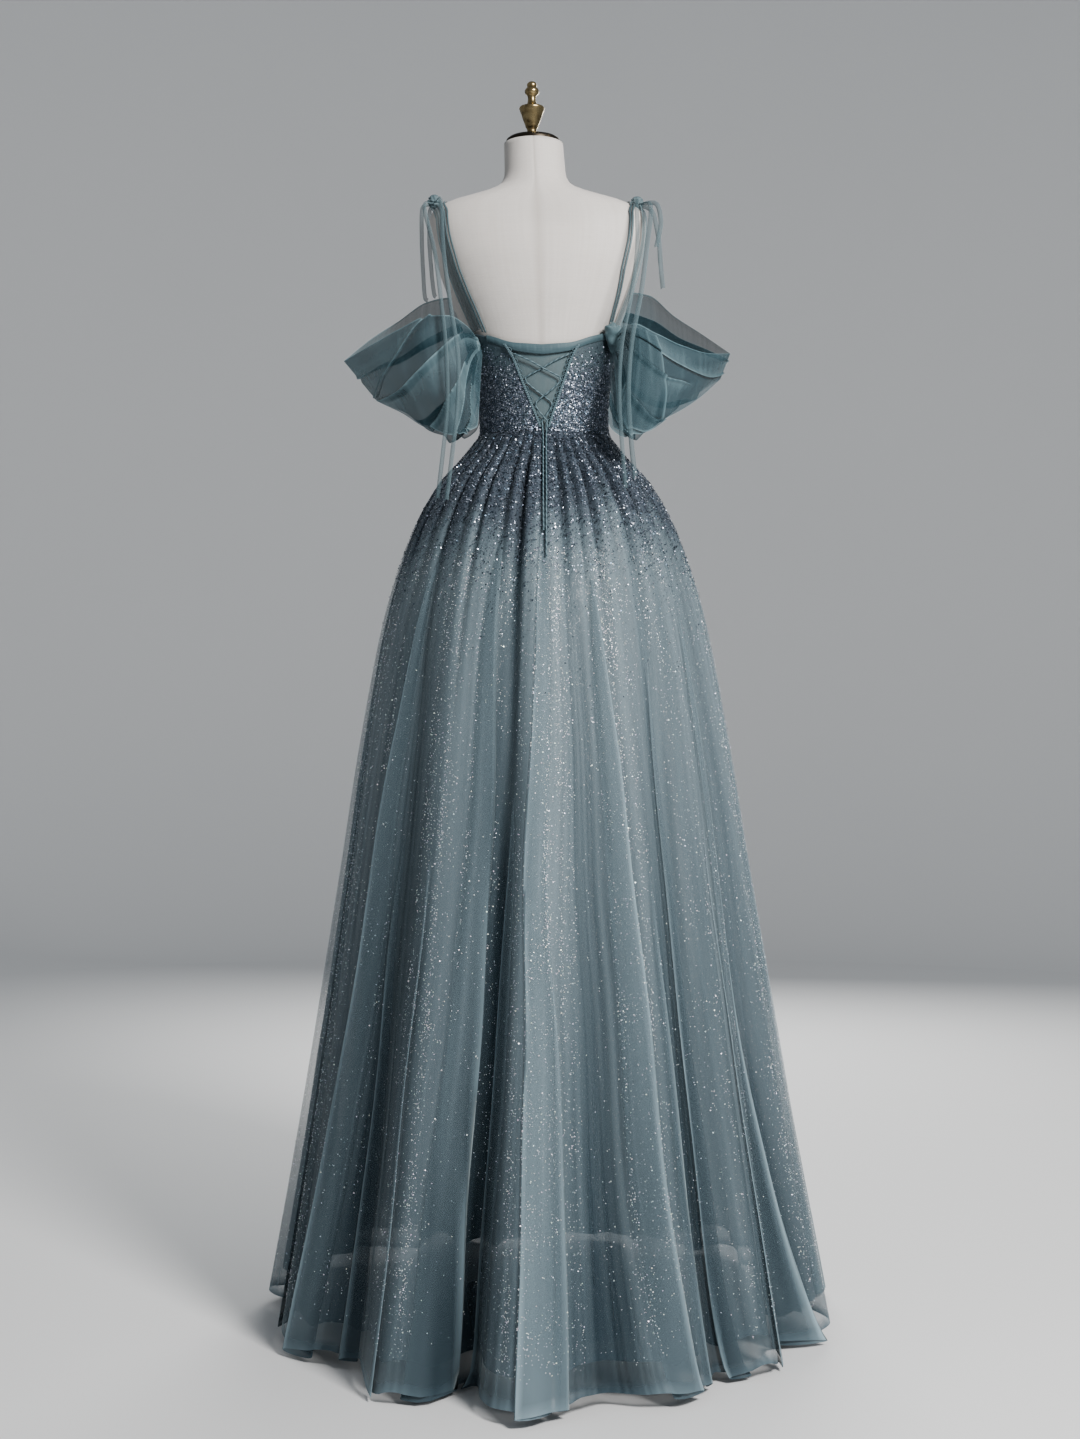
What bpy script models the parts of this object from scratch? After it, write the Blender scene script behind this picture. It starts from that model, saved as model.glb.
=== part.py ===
"""A-line prom dress, laced at the back, on a limbless dress form with its stand.

Metres, +Z up. The origin is on the floor at the axis of the stand's pole. The back of the dress faces -Y.
An angle round the figure is 0 at the centre of the back, 90 at the right side (+X) and 180 at the front.
"""

import math

import bmesh
import bpy
import numpy as np
from mathutils import Vector

# Heights
WAIST_Z = 1.417
HEM_Z = 0.008
TORSO_BASE_Z = 1.130
SHOULDER_Z = 1.730
NECK_BASE_Z = 1.820
NECK_TOP_Z = 1.898
MEAN_TOP_Z = 1.560  # of the bodice's top edge at the back

# Cloth and clearances
TULLE = 0.0010
BEADED_CLOTH = 0.0016
SEAM = 0.0004
CLEAR = 0.0004
RIM_CLEAR = 0.0010

# Distance from the form to the middle of each bodice layer
PANEL_LIFT = 0.0022
BODICE_LIFT = 0.0046
BAND_LIFT = 0.0066
BAND_HEIGHTS = (-0.014, -0.007, 0.0005)  # from the top edge
STRAP_LIFT = 0.0026
UPPER_STRAP_LIFT = 0.0045

# Skirt layers. A fit is the distance inside the outer layer at the waist, what is added to that by the hem,
# and the share of the outer layer's folds.
OUTER_COLUMNS = 72
LINING_COLUMNS = 48
FOLD_GROWTH = 1.2
OUTER_FIT = (0.0, 0.0, 1.0)
GLITTER_FIT = (0.0020, 0.014, 1.0)
LINING_FIT = (0.0042, 0.084, 0.35)

# Stand
POLE_RADIUS = 0.0125
COLLAR_RADIUS = 0.028
COLLAR_HEIGHT = 0.045
BASE_RADIUS = 0.180
BASE_TOP_Z = 0.034

# Lacing
PANEL_OVERLAP = 4  # degrees beyond each edge of the V
PANEL_TRIM = 0.001
LOOP_CORD_RADIUS = 0.0016
LOOP_CORD_ENDS = (1.4225, 1.5350)
LOOP_CORD_POINTS = 16
LOOP_CORD_TURN = 1.2  # degrees from the edge of the V
LACE_RADIUS = 0.0013
LACE_POINTS = 62

FORM_COLUMNS = 36
FORM_SECTIONS = (
    # height, half_width, back, front, centre_x, centre_y, squareness
    (1.130, 0.1400, 0.104, 0.096, 0.0000, 0.000, 2.10),
    (1.175, 0.1500, 0.119, 0.104, 0.0000, 0.000, 2.10),
    (1.215, 0.1510, 0.122, 0.106, 0.0000, 0.000, 2.10),
    (1.270, 0.1430, 0.113, 0.103, 0.0000, 0.000, 2.05),
    (1.330, 0.1230, 0.095, 0.093, 0.0000, 0.000, 2.00),
    (1.385, 0.1040, 0.080, 0.083, 0.0000, 0.000, 2.00),
    (1.417, 0.0990, 0.076, 0.080, 0.0000, 0.000, 2.00),
    (1.450, 0.0985, 0.077, 0.081, -0.0011, 0.000, 2.00),
    (1.490, 0.1025, 0.082, 0.087, -0.0024, 0.000, 2.05),
    (1.530, 0.1095, 0.088, 0.101, -0.0037, 0.000, 2.10),
    (1.570, 0.1180, 0.093, 0.118, -0.0050, 0.000, 2.15),
    (1.605, 0.1310, 0.098, 0.125, -0.0062, 0.000, 2.20),
    (1.645, 0.1480, 0.103, 0.115, -0.0075, 0.000, 2.25),
    (1.690, 0.1630, 0.105, 0.095, -0.0090, 0.000, 2.30),
    (1.735, 0.1740, 0.096, 0.076, -0.0105, 0.000, 2.30),
    (1.763, 0.1760, 0.080, 0.062, -0.0114, 0.000, 2.30),
    (1.783, 0.1690, 0.065, 0.053, -0.0121, 0.000, 2.30),
    (1.797, 0.1460, 0.057, 0.049, -0.0126, 0.001, 2.30),
    (1.807, 0.1130, 0.053, 0.048, -0.0130, 0.002, 2.20),
    (1.817, 0.0790, 0.051, 0.048, -0.0135, 0.003, 2.10),
    (1.828, 0.0580, 0.050, 0.048, -0.0142, 0.005, 2.00),
    (1.846, 0.0500, 0.048, 0.047, -0.0152, 0.008, 2.00),
    (1.872, 0.0488, 0.048, 0.047, -0.0165, 0.011, 2.00),
    (1.898, 0.0480, 0.048, 0.047, -0.0178, 0.014, 2.00),
)

SKIRT_PROFILE = (
    # height, half_width, back, front
    (1.417, 0.1055, 0.083, 0.087),
    (1.381, 0.1330, 0.112, 0.112),
    (1.341, 0.1680, 0.147, 0.145),
    (1.284, 0.2020, 0.185, 0.178),
    (1.230, 0.2250, 0.210, 0.200),
    (1.154, 0.2500, 0.238, 0.225),
    (1.087, 0.2660, 0.256, 0.242),
    (0.991, 0.2830, 0.276, 0.260),
    (0.873, 0.3010, 0.298, 0.279),
    (0.743, 0.3180, 0.321, 0.298),
    (0.603, 0.3370, 0.348, 0.320),
    (0.422, 0.3620, 0.385, 0.350),
    (0.218, 0.3920, 0.430, 0.388),
    (0.008, 0.4250, 0.475, 0.420),
)

SKIRT_FOLDS = (
    # angle at the hem, half_width, depth at the hem, drift towards the waist
    # Angles are in degrees. A ridge has a positive depth, and a valley a negative one.
    (-174, 10, -0.030, 0),
    (-158, 10, 0.030, 0),
    (-142, 10, -0.035, 0),
    (-125, 10, 0.030, 2),
    (-111, 8, -0.030, 2),
    (-97, 9, 0.035, 1),
    (-84, 9, -0.040, 0),
    (-66, 11, 0.012, 2),
    (-47, 11, -0.040, 3),
    (-31, 9, 0.022, 4),
    (-17, 8, -0.105, 8),
    (-4, 12, 0.055, 2),
    (13, 7, -0.024, -2),
    (25, 8, 0.020, -3),
    (39, 8, -0.030, -3),
    (51, 7, 0.010, -2),
    (61, 7, -0.030, -2),
    (73, 8, 0.040, -1),
    (87, 8, -0.035, 0),
    (101, 9, 0.048, -1),
    (118, 10, -0.030, 0),
    (134, 10, 0.030, 0),
    (151, 10, -0.030, 0),
    (168, 10, 0.035, 0),
)

OUTER_ROWS = (1.417, 1.385, 1.340, 1.270, 1.160, 0.960, 0.560, 0.008)
GLITTER_ROWS = (1.417, 1.385, 1.340, 1.270, 1.160, 0.960, 0.560, 0.050)
LINING_ROWS = (1.417, 1.385, 1.340, 1.160, 0.800, 0.200)

TOP_EDGE = (
    # angle from the centre back, height
    (0, 1.5510),
    (20, 1.5535),
    (40, 1.5620),
    (60, 1.5720),
    (90, 1.5860),
    (115, 1.6060),
    (135, 1.6320),
    (150, 1.6440),
    (165, 1.6400),
    (180, 1.6260),
)

BANDS = (
    # name, start angle, end angle, columns
    ("neckline_band_back", -44, 57, 16),
    ("neckline_band_front", 139, 221, 10),
)

LACING_V = (
    # height, half_width of the gap between the two back panels
    (1.418, 0.0030),
    (1.460, 0.0180),
    (1.498, 0.0320),
    (1.542, 0.0490),
    (1.575, 0.0740),
)

STRAP_POINTS = 19
STRAP_SPACING = 1.5  # above 1, the points draw together at the crown
STRAP_FOOT = 0.0038  # above the bodice's top edge
STRAP_CROWN = 0.54
BLADE_SHARE = 0.21
STRAP_TRACK = (
    # share of the way from the back corner over the shoulder to the front corner, turn towards the front
    (0.00, 0.0),
    (0.41, 0.04),
    (0.46, 0.16),
    (0.50, 0.34),
    (0.54, 0.54),
    (0.58, 0.72),
    (0.63, 0.88),
    (0.72, 0.96),
    (1.00, 1.0),
)
STRAP_RISE = (
    # share of the way, share of the rise from the corner to the crown
    (0.00, 0.0),
    (0.10, 0.20),
    (0.21, 0.44),
    (0.32, 0.67),
    (0.41, 0.86),
    (0.46, 0.955),
    (0.50, 0.985),
    (0.54, 1.0),
    (0.58, 0.975),
    (0.63, 0.89),
    (0.72, 0.67),
    (0.86, 0.33),
    (1.00, 0.0),
)

STRAPS = (
    # name, side, angles at the back corner, shoulder blade and front corner, crown height, width, lift
    ("tulle_strap_left", -1, 54, 56, 134, 1.7900, 0.019, UPPER_STRAP_LIFT),
    ("tulle_strap_right", 1, 70, 70, 134, 1.7900, 0.019, UPPER_STRAP_LIFT),
    ("thin_strap_left_inner", -1, 45, 48, 142, 1.7984, 0.003, STRAP_LIFT),
    ("thin_strap_left_outer", -1, 48, 51, 139, 1.7962, 0.003, STRAP_LIFT),
    ("thin_strap_right_inner", 1, 59, 51, 142, 1.7984, 0.003, STRAP_LIFT),
    ("thin_strap_right_outer", 1, 62, 54, 139, 1.7962, 0.003, STRAP_LIFT),
)

KNOT_RADIUS = 0.0110

RIBBON_THICKNESS = 0.0012
RIBBON_POINTS = 12
RIBBON_FACING = (0, -1, 0.25)
KNOT_PINCH = (0.35, 0.85)
HANGING_RIBBONS = (
    # name, side, width, route: the stretches of the shoulder bows that hang free, after the knot
    ("tie_tail_left_1", -1, 0.010, ((-0.193, -0.040, 1.782), (-0.172, -0.103, 1.690), (-0.160, -0.130, 1.600),
     (-0.152, -0.148, 1.520), (-0.150, -0.156, 1.440), (-0.157, -0.156, 1.370), (-0.166, -0.157, 1.296))),
    ("tie_tail_left_2", -1, 0.010, ((-0.166, -0.052, 1.788), (-0.158, -0.114, 1.690), (-0.146, -0.138, 1.600),
     (-0.133, -0.158, 1.520), (-0.134, -0.168, 1.440), (-0.142, -0.170, 1.370), (-0.152, -0.173, 1.292))),
    ("bow_loop_left_1", -1, 0.012, ((-0.199, 0.004, 1.788), (-0.200, 0.030, 1.720), (-0.198, 0.052, 1.662),
     (-0.192, 0.056, 1.652))),
    ("bow_loop_left_2", -1, 0.012, ((-0.188, 0.022, 1.788), (-0.1885, 0.048, 1.725), (-0.184, 0.072, 1.672),
     (-0.180, 0.076, 1.662))),
    ("tie_tail_right_1", 1, 0.010, ((0.147, -0.054, 1.786), (0.145, -0.114, 1.700), (0.134, -0.133, 1.620),
     (0.119, -0.150, 1.540), (0.115, -0.158, 1.460), (0.119, -0.158, 1.385), (0.124, -0.172, 1.310))),
    ("tie_tail_right_2", 1, 0.012, ((0.170, -0.046, 1.782), (0.160, -0.104, 1.700), (0.149, -0.128, 1.620),
     (0.134, -0.148, 1.540), (0.129, -0.158, 1.460), (0.134, -0.157, 1.385), (0.140, -0.162, 1.330))),
    ("bow_loop_right_1", 1, 0.012, ((0.181, -0.006, 1.796), (0.188, -0.014, 1.768), (0.184, -0.030, 1.738),
     (0.179, -0.044, 1.715))),
    ("bow_loop_right_2", 1, 0.012, ((0.176, 0.014, 1.788), (0.186, 0.018, 1.748), (0.190, 0.014, 1.700),
     (0.193, 0.013, 1.662))),
)

SLEEVES = {
    # side: rows of share along the strip from its back gather to its front one, upper edge, lower edge
    "left": (
        (0.07, (-0.1240, -0.0960, 1.5800), (-0.1000, -0.1080, 1.4800)),
        (0.14, (-0.1530, -0.1120, 1.5930), (-0.1030, -0.1310, 1.4150)),
        (0.22, (-0.1880, -0.1180, 1.5900), (-0.1360, -0.1400, 1.4030)),
        (0.31, (-0.2300, -0.0980, 1.5750), (-0.1780, -0.1220, 1.4130)),
        (0.40, (-0.2760, -0.0620, 1.5570), (-0.2220, -0.0830, 1.4430)),
        (0.50, (-0.3260, 0.0000, 1.5420), (-0.2720, 0.0000, 1.4770)),
        (0.60, (-0.2880, 0.0560, 1.5940), (-0.2300, 0.0830, 1.4430)),
        (0.70, (-0.2460, 0.0950, 1.6280), (-0.1860, 0.1250, 1.4130)),
        (0.80, (-0.2000, 0.1200, 1.6640), (-0.1450, 0.1450, 1.4050)),
        (0.88, (-0.1620, 0.1320, 1.6740), (-0.1120, 0.1440, 1.4300)),
        (0.94, (-0.1280, 0.1300, 1.6620), (-0.1000, 0.1390, 1.5200)),
    ),
    "right": (
        (0.07, (0.1260, -0.0940, 1.5790), (0.1020, -0.1040, 1.4800)),
        (0.14, (0.1440, -0.1130, 1.5800), (0.1050, -0.1310, 1.4130)),
        (0.22, (0.1780, -0.1150, 1.5640), (0.1420, -0.1380, 1.4040)),
        (0.31, (0.2160, -0.0960, 1.5500), (0.1900, -0.1080, 1.4330)),
        (0.40, (0.2560, -0.0620, 1.5440), (0.2350, -0.0680, 1.4640)),
        (0.50, (0.3020, 0.0000, 1.5540), (0.2860, 0.0000, 1.5130)),
        (0.60, (0.2620, 0.0520, 1.6000), (0.2390, 0.0720, 1.4620)),
        (0.70, (0.2200, 0.0900, 1.6340), (0.1900, 0.1120, 1.4280)),
        (0.80, (0.1800, 0.1160, 1.6740), (0.1450, 0.1420, 1.4050)),
        (0.88, (0.1480, 0.1290, 1.6820), (0.1120, 0.1420, 1.4300)),
        (0.94, (0.1180, 0.1280, 1.6660), (0.0960, 0.1370, 1.5200)),
    ),
}
SLEEVE_GATHERS = {
    # side: angle of the back gather, angle of the front gather
    "left": (-53, -134),
    "right": (66, 134),
}
GATHER_CLEAR = 0.00064
GATHER_DROP = 0.014
GATHER_WIDTH = 0.020
SLEEVE_COLUMNS = 18
SLEEVE_ROWS = 3
SLEEVE_BULGE = 0.012

# Routes of the lace, from the top of the V to its free end
LACE_LEFT = (
    (-0.0475, -0.0922, 1.5362), (-0.0235, -0.0945, 1.5254), (0.0008, -0.0932, 1.5118),
    (0.0196, -0.0907, 1.5028), (0.0263, -0.0891, 1.4979), (0.0240, -0.0887, 1.4924),
    (0.0088, -0.0881, 1.4788), (-0.0076, -0.0864, 1.4665), (-0.0145, -0.0853, 1.4601),
    (-0.0136, -0.0848, 1.4544), (-0.0047, -0.0844, 1.4417), (0.0030, -0.0841, 1.4332),
    (0.0038, -0.0839, 1.4268), (0.0025, -0.0950, 1.4069), (0.0024, -0.1112, 1.3867),
    (0.0024, -0.1473, 1.3467), (0.0026, -0.1803, 1.3015), (0.0023, -0.1896, 1.2863),
    (0.0022, -0.2100, 1.2461), (0.0024, -0.2272, 1.2065),
)
LACE_RIGHT = (
    (0.0388, -0.0891, 1.5366), (0.0161, -0.0914, 1.5258), (-0.0070, -0.0901, 1.5123),
    (-0.0250, -0.0877, 1.5033), (-0.0313, -0.0861, 1.4983), (-0.0286, -0.0856, 1.4928),
    (-0.0128, -0.0850, 1.4793), (0.0042, -0.0833, 1.4669), (0.0115, -0.0823, 1.4605),
    (0.0110, -0.0817, 1.4546), (0.0031, -0.0813, 1.4418), (-0.0038, -0.0813, 1.4333),
    (-0.0037, -0.0823, 1.4269), (-0.0024, -0.0951, 1.4069), (-0.0023, -0.1113, 1.3867),
    (-0.0023, -0.1474, 1.3467), (-0.0023, -0.1805, 1.3015), (-0.0021, -0.1898, 1.2864),
    (-0.0018, -0.2103, 1.2461),
)

FINIAL_X = -0.0205
FINIAL_Y = 0.0140
CAP_RADIUS = 0.0440
CAP_THICKNESS = 0.0100
FINIAL_PROFILE = (
    # radius, height above the cap
    (0.0000, 0.0000),
    (0.0130, 0.0000),
    (0.0130, 0.0030),
    (0.0085, 0.0065),
    (0.0075, 0.0110),
    (0.0095, 0.0160),
    (0.0135, 0.0270),
    (0.0175, 0.0380),
    (0.0200, 0.0450),
    (0.0208, 0.0475),
    (0.0195, 0.0495),
    (0.0120, 0.0515),
    (0.0078, 0.0550),
    (0.0066, 0.0620),
    (0.0070, 0.0680),
    (0.0105, 0.0715),
    (0.0118, 0.0755),
    (0.0105, 0.0795),
    (0.0078, 0.0825),
    (0.0082, 0.0855),
    (0.0062, 0.0900),
    (0.0000, 0.0920),
)
BASE_PROFILE = (
    # share of the base's radius, height
    (0.00, 0.0000),
    (0.98, 0.0000),
    (1.00, 0.0030),
    (1.00, 0.0080),
    (0.95, 0.0120),
    (0.50, 0.0170),
    (0.22, 0.0230),
    (0.14, BASE_TOP_Z),
    (0.00, BASE_TOP_Z),
)

LINEN = ("linen", (0.80, 0.76, 0.70), 0.85, 0.0)
BRONZE = ("bronze", (0.09, 0.08, 0.07), 0.40, 0.8)
BRASS = ("brass", (0.45, 0.38, 0.22), 0.30, 1.0)
STEEL = ("stand_steel", (0.05, 0.05, 0.05), 0.45, 0.6)
BEADED = ("beaded_tulle", (0.10, 0.13, 0.18), 0.50, 0.0)
SHEER = ("sheer_tulle", (0.20, 0.30, 0.34), 0.70, 0.0)
GLITTER = ("glitter_tulle", (0.26, 0.34, 0.38), 0.55, 0.0)
LINING = ("lining_cloth", (0.22, 0.29, 0.33), 0.60, 0.0)
LACE = ("lace_cord", (0.15, 0.22, 0.25), 0.65, 0.0)


# Tools

def clear_scene():
    for obj in list(bpy.data.objects):
        bpy.data.objects.remove(obj)


def material(finish):
    name, colour, roughness, metallic = finish
    made = bpy.data.materials.get(name) or bpy.data.materials.new(name)
    made.use_nodes = True
    shader = made.node_tree.nodes["Principled BSDF"]
    shader.inputs["Base Color"].default_value = (*colour, 1)
    shader.inputs["Roughness"].default_value = roughness
    shader.inputs["Metallic"].default_value = metallic
    return made


def add_object(name, shape, finish):
    """Closes a bmesh into a named object with its faces pointing out."""
    bmesh.ops.recalc_face_normals(shape, faces=shape.faces)
    mesh = bpy.data.meshes.new(name)
    shape.to_mesh(mesh)
    shape.free()
    mesh.shade_smooth()
    mesh.set_sharp_from_angle(angle=math.radians(40))
    obj = bpy.data.objects.new(name, mesh)
    obj.data.materials.append(material(finish))
    bpy.context.scene.collection.objects.link(obj)
    return obj


def eased(value, table, column):
    """A smooth curve, without overshoot, through one column of a table whose first column rises or falls."""
    rows = sorted(table)
    keys = np.array([row[0] for row in rows], float)
    values = np.array([row[column] for row in rows], float)
    value = min(max(value, keys[0]), keys[-1])
    steps = np.diff(values) / np.diff(keys)
    slopes = np.concatenate(([steps[0]], np.zeros(len(keys) - 2), [steps[-1]]))
    for i in range(1, len(keys) - 1):
        if steps[i - 1] * steps[i] > 0:
            slopes[i] = 2 * steps[i - 1] * steps[i] / (steps[i - 1] + steps[i])
    i = min(int(np.searchsorted(keys, value, side="right")) - 1, len(keys) - 2)
    width = keys[i + 1] - keys[i]
    t = (value - keys[i]) / width
    return float(
        (2 * t**3 - 3 * t**2 + 1) * values[i]
        + (t**3 - 2 * t**2 + t) * width * slopes[i]
        + (3 * t**2 - 2 * t**3) * values[i + 1]
        + (t**3 - t**2) * width * slopes[i + 1]
    )


def smooth_route(points, count):
    """Evenly spaced points on a smooth curve through a route's own points."""
    route = [Vector(point) for point in points]
    ends = [2 * route[0] - route[1], *route, 2 * route[-1] - route[-2]]
    fine = []
    for before, start, end, after in zip(ends, ends[1:], ends[2:], ends[3:]):
        for step in range(24):
            t = step / 24
            fine.append(
                0.5 * (2 * start + (end - before) * t + (2 * before - 5 * start + 4 * end - after) * t**2
                       + (3 * start - before - 3 * end + after) * t**3)
            )
    fine.append(route[-1])
    lengths = np.cumsum([0] + [(b - a).length for a, b in zip(fine, fine[1:])])
    wanted = np.linspace(0, lengths[-1], count)
    axes = [np.interp(wanted, lengths, [point[axis] for point in fine]) for axis in range(3)]
    return [Vector(point) for point in zip(*axes)]


def surface_normal(place, angle, height):
    """The outward normal of a surface given as a function of angle and height."""
    across = place(angle + 0.2, height) - place(angle - 0.2, height)
    up = place(angle, height + 0.0005) - place(angle, height - 0.0005)
    return across.cross(up).normalized()


def add_wall(name, rows, normals, thickness, finish):
    """A cloth wall: a grid of points in the middle of the cloth, given half its thickness to each side."""
    shape = bmesh.new()
    half = thickness / 2
    outer = [[shape.verts.new(p + n * half) for p, n in zip(*pair)] for pair in zip(rows, normals)]
    inner = [[shape.verts.new(p - n * half) for p, n in zip(*pair)] for pair in zip(rows, normals)]
    for r in range(len(rows) - 1):
        for c in range(len(rows[0]) - 1):
            for side in (outer, inner):
                shape.faces.new((side[r][c], side[r][c + 1], side[r + 1][c + 1], side[r + 1][c]))
        for c in (0, -1):
            shape.faces.new((outer[r][c], outer[r + 1][c], inner[r + 1][c], inner[r][c]))
    for c in range(len(rows[0]) - 1):
        for r in (0, -1):
            shape.faces.new((outer[r][c], outer[r][c + 1], inner[r][c + 1], inner[r][c]))
    return add_object(name, shape, finish)


def add_strip(name, points, normals, width, thickness, finish, start_widths=()):
    """A flat ribbon along points, facing its normals. start_widths gives its first points' shares of the width."""
    shape = bmesh.new()
    rings = []
    for i, point in enumerate(points):
        along = (points[min(i + 1, len(points) - 1)] - points[max(i - 1, 0)]).normalized()
        side = normals[i].cross(along).normalized()
        up = along.cross(side).normalized()
        corners = ((-1, -1), (1, -1), (1, 1), (-1, 1))
        half = width / 2 * (start_widths[i] if i < len(start_widths) else 1)
        rings.append([shape.verts.new(point + side * a * half + up * b * thickness / 2) for a, b in corners])
    for ring, after in zip(rings, rings[1:]):
        for i in range(4):
            shape.faces.new((ring[i], ring[(i + 1) % 4], after[(i + 1) % 4], after[i]))
    shape.faces.new(rings[0])
    shape.faces.new(rings[-1])
    return add_object(name, shape, finish)


def add_turned(name, profile, centre, finish, steps=28):
    """A solid turned about a vertical axis from a profile of radius and height."""
    shape = bmesh.new()
    verts = [shape.verts.new((centre[0] + r, centre[1], centre[2] + z)) for r, z in profile]
    edges = [shape.edges.new(pair) for pair in zip(verts, verts[1:])]
    bmesh.ops.spin(shape, geom=verts + edges, cent=centre, axis=(0, 0, 1), angle=math.tau, steps=steps,
                   use_merge=True, use_duplicate=False)
    bmesh.ops.remove_doubles(shape, verts=shape.verts, dist=1e-6)
    return add_object(name, shape, finish)


def add_cord(name, points, radius, finish):
    """A round cord along points, with closed ends."""
    curve = bpy.data.curves.new(name, "CURVE")
    curve.dimensions = "3D"
    curve.bevel_depth = radius
    curve.bevel_resolution = 2
    curve.use_fill_caps = True
    spline = curve.splines.new("POLY")
    spline.points.add(len(points) - 1)
    for target, point in zip(spline.points, points):
        target.co = (*point, 1)
    curve.materials.append(material(finish))
    obj = bpy.data.objects.new(name, curve)
    bpy.context.scene.collection.objects.link(obj)
    return obj


# The dress form

def power(value, exponent):
    return math.copysign(abs(value) ** exponent, value)


def form_point(angle, height, lift=0.0):
    """A point of the form's section at this height, moved out by the lift."""
    turn = math.radians(angle)
    row = [eased(height, FORM_SECTIONS, column) for column in range(1, 7)]
    half_width, back, front, centre_x, centre_y, squareness = row
    depth = back if math.cos(turn) > 0 else front
    across = (half_width + lift) * power(math.sin(turn), 2 / squareness)
    along = (depth + lift) * power(math.cos(turn), 2 / squareness)
    return Vector((centre_x + across, centre_y - along, height))


def on_form(angle, height, lift):
    """A point this far off the form, square to its surface."""
    return form_point(angle, height) + lift * surface_normal(form_point, angle, height)


def build_torso():
    shape = bmesh.new()
    heights = [row[0] for row in FORM_SECTIONS]
    heights += [(low + high) / 2 for low, high in zip(heights, heights[1:]) if SHOULDER_Z < low < NECK_BASE_Z]
    rings = []
    for height in sorted(heights):
        angles = [360 * i / FORM_COLUMNS for i in range(FORM_COLUMNS)]
        rings.append([shape.verts.new(form_point(angle, height)) for angle in angles])
    for ring, above in zip(rings, rings[1:]):
        for i in range(FORM_COLUMNS):
            j = (i + 1) % FORM_COLUMNS
            shape.faces.new((ring[i], ring[j], above[j], above[i]))
    shape.faces.new(rings[0])
    shape.faces.new(rings[-1])
    add_object("form_torso", shape, LINEN)


def build_stand():
    cap_z = NECK_TOP_Z + SEAM
    cap = ((0, 0), (CAP_RADIUS, 0), (CAP_RADIUS, 0.6 * CAP_THICKNESS), (0.9 * CAP_RADIUS, CAP_THICKNESS),
           (0, CAP_THICKNESS))
    add_turned("neck_cap", cap, (FINIAL_X + 0.002, FINIAL_Y, cap_z), BRONZE)
    finial_z = cap_z + CAP_THICKNESS + SEAM
    add_turned("finial", FINIAL_PROFILE, (FINIAL_X, FINIAL_Y, finial_z), BRASS, 20)
    collar_z = TORSO_BASE_Z - SEAM - COLLAR_HEIGHT
    collar = ((0, 0), (0.6 * COLLAR_RADIUS, 0), (0.8 * COLLAR_RADIUS, 0.01), (COLLAR_RADIUS, COLLAR_HEIGHT),
              (0, COLLAR_HEIGHT))
    add_turned("stand_collar", collar, (0, 0, collar_z), STEEL, 24)
    pole_z = BASE_TOP_Z + SEAM
    pole = ((0, 0), (POLE_RADIUS, 0), (POLE_RADIUS, collar_z - SEAM - pole_z), (0, collar_z - SEAM - pole_z))
    add_turned("stand_pole", pole, (0, 0, pole_z), STEEL, 20)
    base = [(share * BASE_RADIUS, height) for share, height in BASE_PROFILE]
    add_turned("stand_base", base, (0, 0, 0), STEEL, 40)


# The bodice

def top_height(angle):
    return eased(abs((angle + 180) % 360 - 180), TOP_EDGE, 1)


def v_angle(height):
    """The angle at which the edge of the lacing V lies, at this height."""
    share = eased(height, LACING_V, 1) / (eased(height, FORM_SECTIONS, 1) + BODICE_LIFT)
    return math.degrees(math.asin(share ** (eased(height, FORM_SECTIONS, 6) / 2)))


def add_panel(name, angle_at, columns, rows, lift, thickness, finish, trim=0.0):
    """A panel over the form from the waist to the top edge, with its angle at each share across and height."""
    bottom = WAIST_Z + RIM_CLEAR
    grid, normals = [], []
    for r in range(rows + 1):
        line, line_normals = [], []
        for c in range(columns + 1):
            top = top_height(angle_at(c / columns, MEAN_TOP_Z)) - trim
            height = bottom + (top - bottom) * r / rows
            angle = angle_at(c / columns, height)
            line.append(on_form(angle, height, lift))
            line_normals.append(surface_normal(form_point, angle, height))
        grid.append(line)
        normals.append(line_normals)
    return add_wall(name, grid, normals, thickness, finish)


def build_bodice():
    edge = 90 - math.degrees(SEAM / FORM_SECTIONS[6][1])
    for name, side in (("left", -1), ("right", 1)):
        def back_angle(share, height, side=side):
            start = v_angle(height)
            return side * (start + (edge - start) * share)
        add_panel(f"bodice_back_{name}", back_angle, 9, 5, BODICE_LIFT, BEADED_CLOTH, BEADED)
    add_panel("bodice_front", lambda share, height: 90 + 180 * share, 16, 7, BODICE_LIFT, BEADED_CLOTH, BEADED)
    add_panel("lacing_panel", lambda share, height: (2 * share - 1) * (v_angle(height) + PANEL_OVERLAP), 10, 5,
              PANEL_LIFT, TULLE, SHEER, PANEL_TRIM)
    for name, start, end, columns in BANDS:
        grid, normals = [], []
        for from_top in BAND_HEIGHTS:
            angles = [start + (end - start) * c / columns for c in range(columns + 1)]
            places = [(angle, top_height(angle) + from_top) for angle in angles]
            grid.append([on_form(*place, BAND_LIFT) for place in places])
            normals.append([surface_normal(form_point, *place) for place in places])
        add_wall(name, grid, normals, TULLE, SHEER)


def build_lacing():
    lift = BODICE_LIFT + BEADED_CLOTH / 2 + CLEAR + LOOP_CORD_RADIUS
    for name, side in (("left", -1), ("right", 1)):
        heights = np.linspace(*LOOP_CORD_ENDS, LOOP_CORD_POINTS)
        points = [on_form(side * (v_angle(height) + LOOP_CORD_TURN), height, lift) for height in heights]
        add_cord(f"loop_edge_{name}", points, LOOP_CORD_RADIUS, LACE)
    add_cord("lace_left", smooth_route(LACE_LEFT, LACE_POINTS), LACE_RADIUS, LACE)
    add_cord("lace_right", smooth_route(LACE_RIGHT, LACE_POINTS), LACE_RADIUS, LACE)


# Straps, bows and ties

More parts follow.
